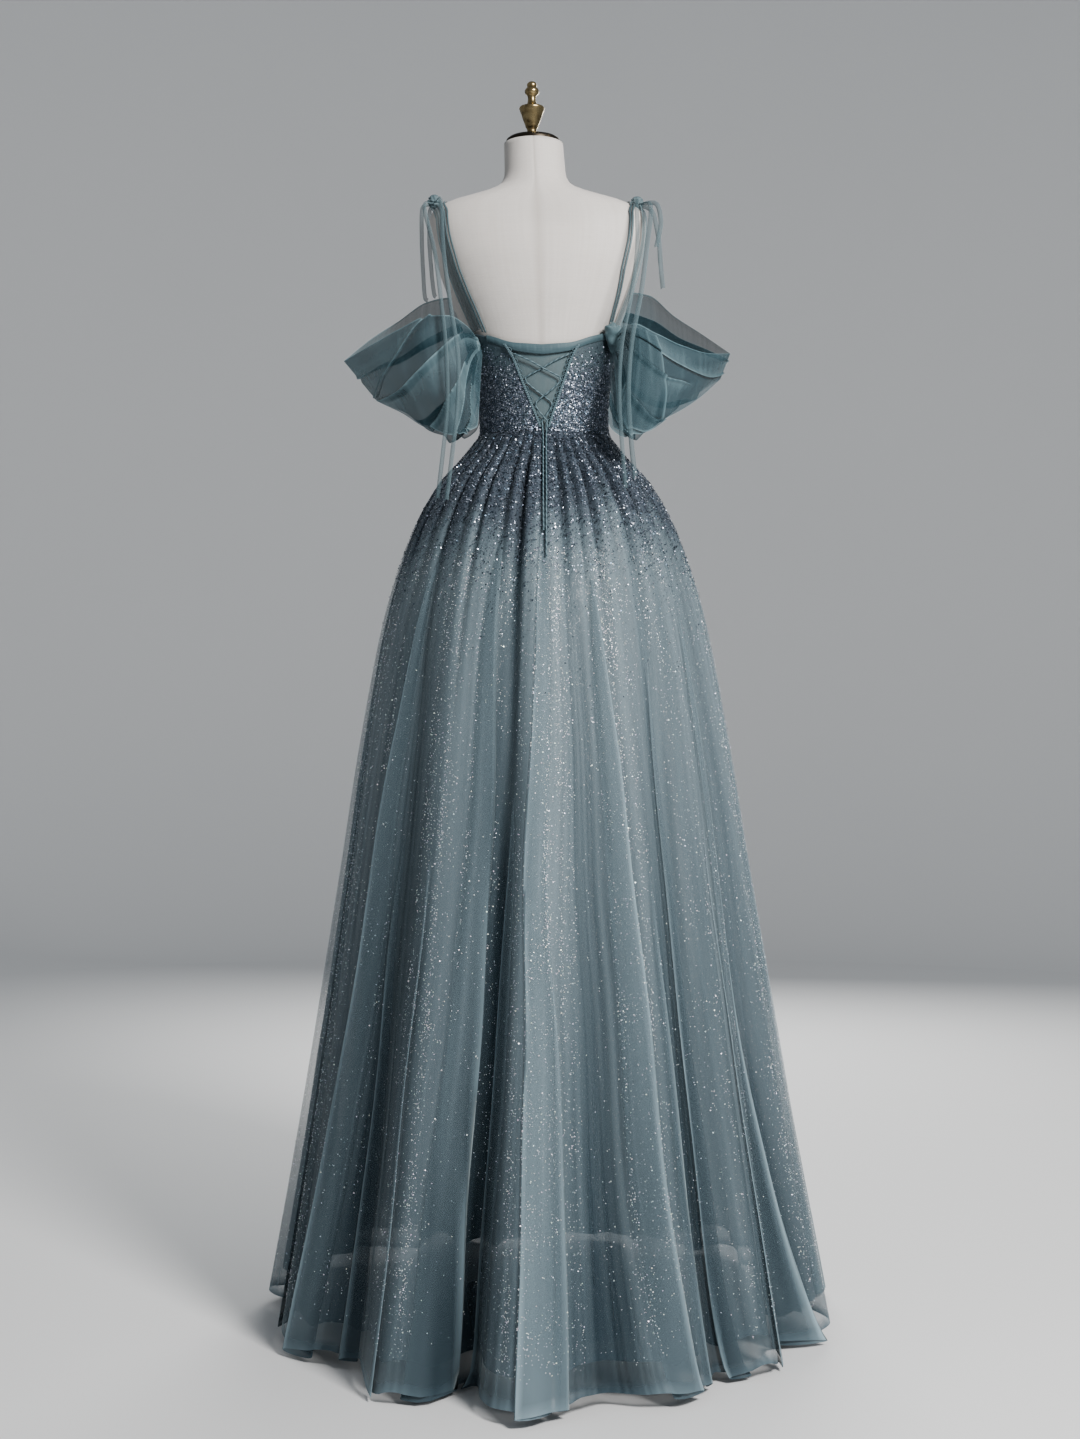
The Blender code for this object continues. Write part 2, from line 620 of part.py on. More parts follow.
def strap_place(strap, share):
    """The angle and height at this share of a strap's way from the back corner to the front one."""
    _, side, corner, blade, front, crown, _, _ = strap
    back = corner + (blade - corner) * min(1, share / BLADE_SHARE)
    angle = back + (front - back) * eased(share, STRAP_TRACK, 1)
    foot = top_height(corner if share < STRAP_CROWN else front) + STRAP_FOOT
    return side * angle, foot + (crown - foot) * eased(share, STRAP_RISE, 1)


def build_straps():
    for strap in STRAPS:
        name, width, lift = strap[0], strap[-2], strap[-1]
        places = []
        for step in np.linspace(-1, 1, STRAP_POINTS):
            half = STRAP_CROWN if step < 0 else 1 - STRAP_CROWN
            places.append(strap_place(strap, STRAP_CROWN + half * power(step, STRAP_SPACING)))
        points = [on_form(*place, lift) for place in places]
        normals = [surface_normal(form_point, *place) for place in places]
        add_strip(name, points, normals, width, RIBBON_THICKNESS, SHEER)


def knot_centre(side):
    strap = next(row for row in STRAPS if row[0].startswith("tulle") and row[1] == side)
    lift = strap[-1] + RIBBON_THICKNESS / 2 + CLEAR + KNOT_RADIUS
    return on_form(*strap_place(strap, STRAP_CROWN), lift)


def build_bows():
    for name, side in (("left", -1), ("right", 1)):
        shape = bmesh.new()
        bmesh.ops.create_uvsphere(shape, u_segments=12, v_segments=7, radius=KNOT_RADIUS)
        bmesh.ops.translate(shape, vec=knot_centre(side), verts=shape.verts)
        add_object(f"knot_{name}", shape, SHEER)
    for name, side, width, route in HANGING_RIBBONS:
        centre = knot_centre(side)
        leaving = (Vector(route[0]) - centre).normalized()
        start = centre + leaving * (KNOT_RADIUS + CLEAR)
        points = smooth_route([start, *route], RIBBON_POINTS)
        facing = [Vector(RIBBON_FACING)] * len(points)
        add_strip(name, points, facing, width, RIBBON_THICKNESS, SHEER, KNOT_PINCH)


# Sleeves

def gather_row(share, angle):
    """The end of a sleeve: a short upright edge just off the bodice."""
    lift = BODICE_LIFT + BEADED_CLOTH / 2 + GATHER_CLEAR
    upper = top_height(angle) - GATHER_DROP
    return share, on_form(angle, upper, lift), on_form(angle, upper - GATHER_WIDTH, lift)


def build_sleeve(side):
    back, front = SLEEVE_GATHERS[side]
    table = (gather_row(0, back), *SLEEVES[side], gather_row(1, front))
    grid = [[] for _ in range(SLEEVE_ROWS + 1)]
    for column in range(SLEEVE_COLUMNS + 1):
        share = column / SLEEVE_COLUMNS
        ends = []
        for edge in (1, 2):
            axes = [[(row[0], row[edge][axis]) for row in table] for axis in range(3)]
            ends.append(Vector([eased(share, axis, 1) for axis in axes]))
        upper, lower = ends
        outward = Vector((upper.x, upper.y, 0)).normalized()
        for r in range(SLEEVE_ROWS + 1):
            t = r / SLEEVE_ROWS
            bulge = SLEEVE_BULGE * math.sin(math.pi * t) * math.sin(math.pi * share)
            grid[r].append(upper.lerp(lower, t) + outward * bulge)
    normals = []
    for r, row in enumerate(grid):
        line = []
        for c in range(len(row)):
            along = row[min(c + 1, len(row) - 1)] - row[max(c - 1, 0)]
            down = grid[min(r + 1, len(grid) - 1)][c] - grid[max(r - 1, 0)][c]
            line.append(along.cross(down).normalized())
        normals.append(line)
    add_wall(f"sleeve_{side}", grid, normals, TULLE, SHEER)


# The skirt

def fold_height(angle, height):
    """How far the folds move the cloth out (ridges) or in (valleys) at this angle and height."""
    fall = (WAIST_Z - height) / (WAIST_Z - HEM_Z)
    total = 0.0
    for hem_angle, half_width, depth, drift in SKIRT_FOLDS:
        centre = hem_angle + drift * (1 - fall)
        away = abs((angle - centre + 180) % 360 - 180) / half_width
        if away < 1:
            total += depth * math.cos(math.pi / 2 * away) ** 2
    return total * max(fall, 0) ** FOLD_GROWTH


def skirt_point(angle, height, fit):
    at_waist, more_at_hem, fold_share = fit
    fall = (WAIST_Z - height) / (WAIST_Z - HEM_Z)
    move = fold_share * fold_height(angle, height) - at_waist - more_at_hem * max(fall, 0)
    turn = math.radians(angle)
    half_width, back, front = (eased(height, SKIRT_PROFILE, c) for c in range(1, 4))
    depth = back if math.cos(turn) > 0 else front
    return Vector(((half_width + move) * math.sin(turn), -(depth + move) * math.cos(turn), height))


def build_skirt_layer(name, panels, columns, heights, fit, finish):
    def place(angle, height):
        return skirt_point(angle, height, fit)

    for panel in range(panels):
        grid, normals = [], []
        for height in heights:
            angles = [360 / panels * (panel + c / columns) for c in range(columns + 1)]
            line = [place(angle, height) for angle in angles]
            for end, near in ((0, 1), (-1, -2)):
                line[end] = line[end] + (line[near] - line[end]).normalized() * SEAM / 2
            grid.append(line)
            below = min(height, WAIST_Z - RIM_CLEAR)
            normals.append([surface_normal(place, angle, below) for angle in angles])
        add_wall(f"{name}_{panel + 1}", grid, normals, TULLE, finish)


def build_skirt():
    build_skirt_layer("skirt_tulle", 6, OUTER_COLUMNS // 6, OUTER_ROWS, OUTER_FIT, SHEER)
    build_skirt_layer("skirt_glitter", 4, OUTER_COLUMNS // 4, GLITTER_ROWS, GLITTER_FIT, GLITTER)
    build_skirt_layer("skirt_lining", 4, LINING_COLUMNS // 4, LINING_ROWS, LINING_FIT, LINING)


clear_scene()
build_torso()
build_stand()
build_bodice()
build_lacing()
build_straps()
build_bows()
build_sleeve("left")
build_sleeve("right")
build_skirt()
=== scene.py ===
import math
import bmesh
import bpy
import numpy as np
from mathutils import Matrix, Vector


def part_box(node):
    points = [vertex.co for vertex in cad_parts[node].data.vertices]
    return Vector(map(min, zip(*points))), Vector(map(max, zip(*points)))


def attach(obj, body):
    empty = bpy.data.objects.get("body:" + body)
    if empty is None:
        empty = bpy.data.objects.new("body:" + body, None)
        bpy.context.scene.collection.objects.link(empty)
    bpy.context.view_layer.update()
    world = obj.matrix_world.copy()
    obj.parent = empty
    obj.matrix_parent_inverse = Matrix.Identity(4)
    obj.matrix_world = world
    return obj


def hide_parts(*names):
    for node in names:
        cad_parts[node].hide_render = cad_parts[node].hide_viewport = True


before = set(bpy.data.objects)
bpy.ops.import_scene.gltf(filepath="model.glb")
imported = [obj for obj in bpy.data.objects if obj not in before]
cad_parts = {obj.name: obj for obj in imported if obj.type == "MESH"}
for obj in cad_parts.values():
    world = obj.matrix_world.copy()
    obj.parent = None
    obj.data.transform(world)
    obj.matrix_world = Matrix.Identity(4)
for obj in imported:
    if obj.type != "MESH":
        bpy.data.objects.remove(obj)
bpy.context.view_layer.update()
scene = bpy.context.scene

# Metres, +Z up. The laced back of the dress faces -Y.
# An angle round the figure is 0 at the centre of the back, 90 at the right side and 180 at the front.


def linked(name, data):
    made = bpy.data.objects.new(name, data)
    scene.collection.objects.link(made)
    return made


# Camera

view = {
    "place": (-0.0073, -3.09, 0.96),
    "lens": 47.6,
    "filmHeight": 36.0,
}


def addCamera():
    camera = bpy.data.cameras.new("viewCamera")
    camera.sensor_fit = "VERTICAL"
    camera.sensor_height = view["filmHeight"]
    camera.lens = view["lens"]
    holder = linked("viewCamera", camera)
    holder.location = view["place"]
    holder.rotation_euler = (math.pi / 2, 0, 0)
    scene.camera = holder


addCamera()
print("camera placed")


# Shader tools

class Value:
    # a socket that takes Python's operators
    def __init__(self, finish, socket):
        self.finish = finish
        self.socket = socket

    def join(self, operation, first, second=0.0):
        return self.finish.node("ShaderNodeMath", {"operation": operation}, {0: first, 1: second})

    def __add__(self, other):
        return self.join("ADD", self, other)

    def __radd__(self, other):
        return self.join("ADD", other, self)

    def __sub__(self, other):
        return self.join("SUBTRACT", self, other)

    def __rsub__(self, other):
        return self.join("SUBTRACT", other, self)

    def __mul__(self, other):
        return self.join("MULTIPLY", self, other)

    def __rmul__(self, other):
        return self.join("MULTIPLY", other, self)

    def __gt__(self, other):
        return self.join("GREATER_THAN", self, other)

    def __lt__(self, other):
        return self.join("LESS_THAN", self, other)

    def other(self, output):
        # another output of the same node
        return Value(self.finish, self.socket.node.outputs[output])

    def wave(self):
        return self.join("SINE", self)

    def held(self, low=0.0, high=1.0):
        return self.join("MINIMUM", self.join("MAXIMUM", self, low), high)


class Finish:
    # a Principled material whose other nodes all come from one method
    def __init__(self, name, **fixed):
        self.material = bpy.data.materials.new(name)
        self.material.use_nodes = True
        self.tree = self.material.node_tree
        self.shader = self.tree.nodes["Principled BSDF"]
        for socket, value in fixed.items():
            self.feed(self.shader.inputs[socket.replace("_", " ")], value)

    def feed(self, socket, value):
        if isinstance(value, Value):
            self.tree.links.new(value.socket, socket)
        else:
            socket.default_value = value

    def node(self, kind, settings=None, sockets=None, output=0):
        made = self.tree.nodes.new(kind)
        for key, value in (settings or {}).items():
            setattr(made, key, value)
        for key, value in (sockets or {}).items():
            self.feed(made.inputs[key], value)
        return Value(self, made.outputs[output])

    def set(self, socket, value):
        self.feed(self.shader.inputs[socket], value)

    def uv(self):
        return self.node("ShaderNodeTexCoord", output="UV")

    def place(self):
        return self.node("ShaderNodeTexCoord", output="Object")

    def stretched(self, vector, scale):
        return self.node("ShaderNodeMapping", {}, {"Vector": vector, "Scale": scale})

    def axis(self, vector, which):
        return self.node("ShaderNodeSeparateXYZ", {}, {0: vector}, which)

    def noise(self, vector, scale, detail=2.0, roughness=0.5):
        sockets = {"Vector": vector, "Scale": scale, "Detail": detail, "Roughness": roughness}
        return self.node("ShaderNodeTexNoise", {}, sockets)

    def drawn(self, vector, scale, detail=1.0):
        # noise drawn out along one way of the cloth or metal
        return self.noise(self.stretched(vector, scale), 1.0, detail)

    def cells(self, vector, scale):
        return self.node("ShaderNodeTexVoronoi", {}, {"Vector": vector, "Scale": scale}, "Distance")

    def mark(self, name):
        return self.node("ShaderNodeAttribute", {"attribute_name": name}, output="Fac")

    def tint(self, name):
        return self.node("ShaderNodeAttribute", {"attribute_name": name}, output="Color")

    def blend(self, share, first, second):
        return self.node("ShaderNodeMix", {"data_type": "RGBA"}, {"Factor": share, 6: first, 7: second}, 2)

    def bump(self, height, strength, distance):
        sockets = {"Height": height, "Strength": strength, "Distance": distance}
        self.set("Normal", self.node("ShaderNodeBump", {}, sockets))


def colour(red, green, blue):
    return (red, green, blue, 1.0)


# Shape tools

def eased(value, table, column):
    # a smooth curve, without overshoot, through one column of a table whose first column rises or falls
    rows = sorted(table)
    keys = np.array([row[0] for row in rows], float)
    values = np.array([row[column] for row in rows], float)
    value = np.clip(value, keys[0], keys[-1])
    steps = np.diff(values) / np.diff(keys)
    slopes = np.concatenate(([steps[0]], np.zeros(len(keys) - 2), [steps[-1]]))
    product = steps[:-1] * steps[1:]
    total = steps[:-1] + steps[1:]
    same = product > 0
    slopes[1:-1] = np.where(same, 2 * product / np.where(same, total, 1), 0)
    i = np.clip(np.searchsorted(keys, value, side="right") - 1, 0, len(keys) - 2)
    width = keys[i + 1] - keys[i]
    t = (value - keys[i]) / width
    return ((2 * t**3 - 3 * t**2 + 1) * values[i] + (t**3 - 2 * t**2 + t) * width * slopes[i]
            + (3 * t**2 - 2 * t**3) * values[i + 1] + (t**3 - t**2) * width * slopes[i + 1])


def unit(vectors):
    return vectors / np.maximum(np.linalg.norm(vectors, axis=-1, keepdims=True), 1e-12)


def limited(value):
    return np.clip(value, 0, 1)


def hump(away, width):
    # 1 in the middle, and down softly on both sides
    return np.exp(-((away / width) ** 2))


def smoothRoute(points, count, between=24):
    # evenly spaced points on a smooth curve through a route's own points
    route = np.array(points, float)
    ends = np.vstack((2 * route[0] - route[1], route, 2 * route[-1] - route[-2]))
    fine = []
    for before, start, end, after in zip(ends, ends[1:], ends[2:], ends[3:]):
        square = 2 * before - 5 * start + 4 * end - after
        cube = 3 * start - before - 3 * end + after
        for t in np.arange(between) / between:
            fine.append(0.5 * (2 * start + (end - before) * t + square * t**2 + cube * t**3))
    fine = np.array(fine + [route[-1]])
    along = np.concatenate(([0], np.cumsum(np.linalg.norm(np.diff(fine, axis=0), axis=1))))
    wanted = np.linspace(0, along[-1], count)
    return np.stack([np.interp(wanted, along, fine[:, axis]) for axis in range(3)], axis=1)


def outward(surface, angle, height, turn=0.2, rise=0.0005):
    across = surface(angle + turn, height) - surface(angle - turn, height)
    up = surface(angle, height + rise) - surface(angle, height - rise)
    return unit(np.cross(across, up))


def lifted(surface, angle, height, lift):
    # points this far off a surface, square to it
    return surface(angle, height) + np.reshape(lift, (-1, 1)) * outward(surface, angle, height)


def addShape(name, shape):
    # the finished shape as a smooth object
    mesh = bpy.data.meshes.new(name)
    shape.to_mesh(mesh)
    shape.free()
    mesh.shade_smooth()
    return linked(name, mesh)


def addGrid(name, columns, rows, place, size, closed=False, marks=None, capped=False):
    # place gives each point from its shares across and up, and size is the grid's real size for the weave
    shape = bmesh.new()
    shape.loops.layers.uv.new("cloth")
    bmesh.ops.create_grid(shape, x_segments=columns, y_segments=rows, size=0.5, calc_uvs=True)
    shares = np.array([vert.co[:2] for vert in shape.verts]) + 0.5
    for key, value in (marks or {}).items():
        layer = shape.verts.layers.float.new(key)
        for vert, number in zip(shape.verts, value(shares[:, 0], shares[:, 1])):
            vert[layer] = number
    for vert, point in zip(shape.verts, place(shares[:, 0], shares[:, 1])):
        vert.co = point
    if closed:
        bmesh.ops.remove_doubles(shape, verts=[v for v in shape.verts if v.is_boundary], dist=1e-6)
    if capped:
        bmesh.ops.holes_fill(shape, edges=[e for e in shape.edges if e.is_boundary])
    piece = addShape(name, shape)
    layer = piece.data.uv_layers["cloth"].uv
    flat = np.empty(len(layer) * 2, np.float32)
    layer.foreach_get("vector", flat)
    layer.foreach_set("vector", (flat.reshape(-1, 2) * np.array(size)).ravel())
    return piece


def turnedShape(profile, centre, steps):
    # a profile of radius and height, turned about an upright line through the centre
    shape = bmesh.new()
    verts = [shape.verts.new((centre[0] + radius, centre[1], height)) for radius, height in profile]
    edges = [shape.edges.new(pair) for pair in zip(verts, verts[1:])]
    bmesh.ops.spin(shape, geom=verts + edges, cent=centre, axis=(0, 0, 1), angle=math.tau, steps=steps,
                   use_merge=True, use_duplicate=False)
    bmesh.ops.remove_doubles(shape, verts=shape.verts, dist=1e-6)
    bmesh.ops.recalc_face_normals(shape, faces=shape.faces)
    return shape


def finishPiece(piece, finish, nodes=()):
    piece.data.materials.append(finish.material)
    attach(piece, "root")
    if nodes:
        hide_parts(*nodes)


def runOf(points):
    return float(np.linalg.norm(np.diff(points, axis=0), axis=1).sum())


def cutOf(place, points=600, rows=9, columns=25, allowance=1.01):
    # the longest way across a surface and the longest way up it
    line = np.linspace(0, 1, points)
    across = [runOf(place(line, np.full(points, share))) for share in np.linspace(0, 1, rows)]
    up = [runOf(place(np.full(points, share), line)) for share in np.linspace(0, 1, columns)]
    return max(across) * allowance, max(up) * allowance


def declareSheet(piece, place):
    # the flat size that the piece was cut to, measured along its own cloth
    width, length = cutOf(place)
    area = sum(face.area for face in piece.data.polygons)
    length = min(length, 2 * area / width)
    print(f"{piece.name}: {width:.3f} x {length:.3f} m")


def addCloth(name, grid, place, size, finish, nodes=(), held=None, marks=None, wall=0,
             closed=False):
    # one piece of cloth: its grid, its wall, its finish and its cut
    made = addGrid(name, *grid, place, size, closed, marks)
    if wall:
        solid = made.modifiers.new("wall", "SOLIDIFY")
        solid.thickness = wall
        solid.offset = 0
    finishPiece(made, finish, nodes)
    if held:
        declareSheet(made, place)
    return made


def ripple(phase, *waves):
    # an uneven wave between about -1 and 1, from pairs of rate and shift
    return sum(np.sin(phase * rate + shift) for rate, shift in waves) / len(waves)


# The laces, along the routes of their solids

lacing = {
    "radius": 0.0013,
    "points": 62,
    "twists": 260.0,
    "slant": 6.3,
    "dark": colour(0.055, 0.095, 0.115),
    "light": colour(0.145, 0.215, 0.245),
    "left": (
        (-0.0475, -0.0922, 1.5362), (-0.0235, -0.0945, 1.5254), (0.0008, -0.0932, 1.5118),
        (0.0196, -0.0907, 1.5028), (0.0263, -0.0891, 1.4979), (0.024, -0.0887, 1.4924),
        (0.0088, -0.0881, 1.4788), (-0.0076, -0.0864, 1.4665), (-0.0145, -0.0853, 1.4601),
        (-0.0136, -0.0848, 1.4544), (-0.0047, -0.0844, 1.4417), (0.003, -0.0841, 1.4332),
        (0.0038, -0.0839, 1.4268), (0.0025, -0.095, 1.4069), (0.0024, -0.1112, 1.3867),
        (0.0024, -0.1473, 1.3467), (0.0026, -0.1803, 1.3015), (0.0023, -0.1896, 1.2863),
        (0.0022, -0.21, 1.2461), (0.0024, -0.2272, 1.2065),
    ),
    "right": (
        (0.0388, -0.0891, 1.5366), (0.0161, -0.0914, 1.5258), (-0.007, -0.0901, 1.5123),
        (-0.025, -0.0877, 1.5033), (-0.0313, -0.0861, 1.4983), (-0.0286, -0.0856, 1.4928),
        (-0.0128, -0.085, 1.4793), (0.0042, -0.0833, 1.4669), (0.0115, -0.0823, 1.4605),
        (0.011, -0.0817, 1.4546), (0.0031, -0.0813, 1.4418), (-0.0038, -0.0813, 1.4333),
        (-0.0037, -0.0823, 1.4269), (-0.0024, -0.0951, 1.4069), (-0.0023, -0.1113, 1.3867),
        (-0.0023, -0.1474, 1.3467), (-0.0023, -0.1805, 1.3015), (-0.0021, -0.1898, 1.2864),
        (-0.0018, -0.2103, 1.2461),
    ),
}


def cordFinish():
    made = Finish("laceCord", Roughness=0.6)
    uv = made.uv()
    twist = (made.axis(uv, 0) * lacing["twists"] + made.axis(uv, 1) * lacing["slant"]).wave()
    made.set("Base Color", made.blend((twist * 0.5 + 0.5).held(), lacing["dark"], lacing["light"]))
    made.bump(twist, 0.5, 0.0004)
    return made


def addCord(name, points, radius, finish):
    curve = bpy.data.curves.new(name, "CURVE")
    curve.dimensions = "3D"
    curve.bevel_depth = radius
    curve.bevel_resolution = 3
    curve.use_fill_caps = True
    spline = curve.splines.new("POLY")
    spline.points.add(len(points) - 1)
    for target, point in zip(spline.points, points):
        target.co = (*point, 1)
    piece = linked(name, curve)
    finishPiece(piece, finish)
    return piece


cord = cordFinish()
for side in ("left", "right"):
    route = smoothRoute(lacing[side], lacing["points"])
    lace = addCord(f"{side}Lace", route, lacing["radius"], cord)
    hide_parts(f"lace_{side}")
    round(runOf(route), 3)
    2 * lacing["radius"]
print("laces laid")


# The dress form

form = {
    "columns": 108,
    "rows": 110,
    "girth": 0.86,
    "seamWidth": 0.9,
    "seamDepth": 0.0007,
    "threads": 6300.0,
    "linenDark": colour(0.515, 0.488, 0.46),
    "linenLight": colour(0.685, 0.662, 0.64),
    "seamTone": colour(0.39, 0.36, 0.335),
    # height, half width, back, front, centre x, centre y, squareness
    "sections": (
        (1.13, 0.14, 0.104, 0.096, 0.0, 0.0, 2.1),
        (1.175, 0.15, 0.119, 0.104, 0.0, 0.0, 2.1),
        (1.215, 0.151, 0.122, 0.106, 0.0, 0.0, 2.1),
        (1.27, 0.143, 0.113, 0.103, 0.0, 0.0, 2.05),
        (1.33, 0.123, 0.095, 0.093, 0.0, 0.0, 2.0),
        (1.385, 0.104, 0.08, 0.083, 0.0, 0.0, 2.0),
        (1.417, 0.099, 0.076, 0.08, 0.0, 0.0, 2.0),
        (1.45, 0.0985, 0.077, 0.081, -0.0011, 0.0, 2.0),
        (1.49, 0.1025, 0.082, 0.087, -0.0024, 0.0, 2.05),
        (1.53, 0.1095, 0.088, 0.101, -0.0037, 0.0, 2.1),
        (1.57, 0.118, 0.093, 0.118, -0.005, 0.0, 2.15),
        (1.605, 0.131, 0.098, 0.125, -0.0062, 0.0, 2.2),
        (1.645, 0.148, 0.103, 0.115, -0.0075, 0.0, 2.25),
        (1.69, 0.163, 0.105, 0.095, -0.009, 0.0, 2.3),
        (1.735, 0.174, 0.096, 0.076, -0.0105, 0.0, 2.3),
        (1.763, 0.176, 0.08, 0.062, -0.0114, 0.0, 2.3),
        (1.783, 0.169, 0.065, 0.053, -0.0121, 0.0, 2.3),
        (1.797, 0.146, 0.057, 0.049, -0.0126, 0.001, 2.3),
        (1.807, 0.113, 0.053, 0.048, -0.013, 0.002, 2.2),
        (1.817, 0.079, 0.051, 0.048, -0.0135, 0.003, 2.1),
        (1.828, 0.058, 0.05, 0.048, -0.0142, 0.005, 2.0),
        (1.846, 0.05, 0.048, 0.047, -0.0152, 0.008, 2.0),
        (1.872, 0.0488, 0.048, 0.047, -0.0165, 0.011, 2.0),
        (1.898, 0.048, 0.048, 0.047, -0.0178, 0.014, 2.0),
    ),
}


def powered(value, exponent):
    return np.sign(value) * np.abs(value) ** exponent


def formSurface(angle, height):
    turn = np.radians(angle)
    halfWidth, back, front, centreX, centreY, squareness = (
        eased(height, form["sections"], column) for column in range(1, 7))
    depth = np.where(np.cos(turn) > 0, back, front)
    across = halfWidth * powered(np.sin(turn), 2 / squareness)
    along = depth * powered(np.cos(turn), 2 / squareness)
    return np.stack((centreX + across, centreY - along, height), axis=-1)


def awayFrom(angle, centre):
    return (angle - centre + 180) % 360 - 180


def linenFinish():
    made = Finish("linen", Roughness=0.86, Sheen_Weight=0.25, Sheen_Roughness=0.5)
    uv = made.uv()
    warp, weft = ((made.axis(uv, way) * form["threads"]).wave() for way in (0, 1))
    # the vertical streaks are partly the linen's own uneven tone and partly a painted sheen; the slubs and
    # clouds are its own tone
    streaks = made.drawn(uv, (210.0, 7.0, 1.0), 3.0)
    slubs = made.drawn(uv, (26.0, 420.0, 1.0), 3.0)
    clouds = made.noise(uv, 9.0, 2.0)
    tone = (streaks * 0.45 + slubs * 0.35 + clouds * 0.5 - 0.15).held()
    seam = made.mark("seam")
    plain = made.blend(tone, form["linenDark"], form["linenLight"])
    made.set("Base Color", made.blend(seam * 0.45, plain, form["seamTone"]))
    made.bump(warp * weft * 0.25 + slubs * 1.2 + streaks * 0.8, 0.35, 0.0005)
    return made


def addForm():
    top = form["sections"][-1][0]
    bottom = form["sections"][0][0]

    def place(u, v):
        angle = 360 * u
        height = bottom + (top - bottom) * v
        groove = hump(awayFrom(angle, 0), form["seamWidth"])
        return lifted(formSurface, angle, height, -form["seamDepth"] * groove)

    def seam(u, v):
        return hump(awayFrom(360 * u, 0), form["seamWidth"] / 1.6)

    size = (form["girth"], top - bottom)
    torso = addGrid("formBody", form["columns"], form["rows"], place, size, True, {"seam": seam}, True)
    finishPiece(torso, linenFinish(), ("form_torso",))


stand = {
    "turnSteps": 64,
    "sharpAngle": 50,
    "brass": (colour(0.43, 0.34, 0.19), colour(0.09, 0.066, 0.036)),
    "bronze": (colour(0.045, 0.038, 0.03), colour(0.2, 0.15, 0.09)),
    "steel": (colour(0.03, 0.03, 0.032), colour(0.075, 0.075, 0.078)),
    # share of the radius, share of the height
    "finialProfile": (
        (0.0, 0.0), (0.62, 0.0), (0.63, 0.018), (0.6, 0.032), (0.43, 0.06), (0.36, 0.11), (0.37, 0.14),
        (0.45, 0.175), (0.5, 0.19), (0.52, 0.215), (0.56, 0.24), (0.67, 0.3), (0.81, 0.39), (0.92, 0.46),
        (0.99, 0.5), (1.0, 0.522), (0.95, 0.54), (0.8, 0.55), (0.58, 0.56), (0.42, 0.585), (0.34, 0.63),
        (0.31, 0.68), (0.33, 0.73), (0.4, 0.755), (0.5, 0.775), (0.56, 0.805), (0.57, 0.83), (0.5, 0.862),
        (0.4, 0.885), (0.36, 0.9), (0.4, 0.925), (0.38, 0.955), (0.26, 0.985), (0.0, 1.0),
    ),
    "capProfile": (
        (0.0, 0.0), (0.97, 0.0), (1.0, 0.08), (1.0, 0.5), (0.985, 0.62), (0.93, 0.74), (0.9, 0.9),
        (0.6, 0.98), (0.0, 1.0),
    ),
}


def brassFinish():
    made = Finish("antiqueBrass", Metallic=1.0)
    place = made.place()
    patina = made.noise(place, 90.0, 4.0, 0.6)
    scratches = made.drawn(place, (500.0, 500.0, 60.0), 3.0)
    dark = ((patina - 0.42) * 3.2).held()
    made.set("Base Color", made.blend(dark, *stand["brass"]))
    made.set("Roughness", (0.2 + dark * 0.22 + scratches * 0.1).held())
    made.bump(scratches, 0.12, 0.0003)
    return made


def bronzeFinish():
    made = Finish("darkBronze", Metallic=0.9)
    place = made.place()
    wear = made.noise(place, 60.0, 4.0, 0.6)
    made.set("Base Color", made.blend(((wear - 0.55) * 5.0).held(), *stand["bronze"]))
    made.set("Roughness", (0.28 + wear * 0.25).held())
    return made


def steelFinish():
    made = Finish("blackSteel", Metallic=0.3)
    grain = made.noise(made.place(), 900.0, 2.0)
    scuffs = made.noise(made.place(), 14.0, 4.0, 0.6)
    made.set("Base Color", made.blend(((scuffs - 0.55) * 4.0).held(), *stand["steel"]))
    made.set("Roughness", (0.38 + scuffs * 0.2).held())
    made.bump(grain, 0.15, 0.0002)
    return made


def addTurned(name, profile, node, finish):
    low, high = (np.array(corner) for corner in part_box(node))
    radius = (high[0] - low[0]) / 2
    rows = [(across * radius, low[2] + up * (high[2] - low[2])) for across, up in profile]
    piece = addShape(name, turnedShape(rows, (low + high) / 2, stand["turnSteps"]))
    piece.data.set_sharp_from_angle(angle=math.radians(stand["sharpAngle"]))
    finishPiece(piece, finish, (node,))


addForm()
addTurned("finialKnob", stand["finialProfile"], "finial", brassFinish())
addTurned("neckCap", stand["capProfile"], "neck_cap", bronzeFinish())
steel = steelFinish()
for node in ("stand_pole", "stand_collar", "stand_base"):
    slots = bpy.data.objects[node].data.materials
    slots.clear()
    slots.append(steel.material)
print("dress form built")


# The bodice

perRadian = 57.3  # degrees

bodice = {
    "lift": 0.0046,
    "clothThickness": 0.0012,
    "ground": (colour(0.03, 0.052, 0.064), colour(0.07, 0.105, 0.122)),
    "beads": (colour(0.035, 0.048, 0.075), colour(0.36, 0.4, 0.48)),
    "rimGap": 0.001,
    "meanTop": 1.56,
    # angle from the centre of the back, height of the top edge
    "topEdge": (
        (0, 1.5505), (20, 1.5545), (40, 1.568), (60, 1.579), (90, 1.588), (115, 1.606), (135, 1.632),
        (150, 1.644), (165, 1.64), (180, 1.626),
    ),
    # height, half width of the gap between the two back panels
    "lacingV": (
        (1.418, 0.003), (1.46, 0.018), (1.498, 0.032), (1.542, 0.049), (1.575, 0.074),
    ),
}
modesty = {
    "lift": 0.0022,
    "overlap": 4.0,
    "trim": 0.001,
    "grid": (54, 60),
    "clothSize": (0.12, 0.13),
    "fold": 0.1,
    "cover": (0.72, 0.9),
    "tones": (colour(0.085, 0.14, 0.16), colour(0.15, 0.225, 0.25)),
}
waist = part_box("skirt_tulle_1")[1][2]


def topHeight(angle):
    return eased(np.abs(awayFrom(angle, 0)), bodice["topEdge"], 1)


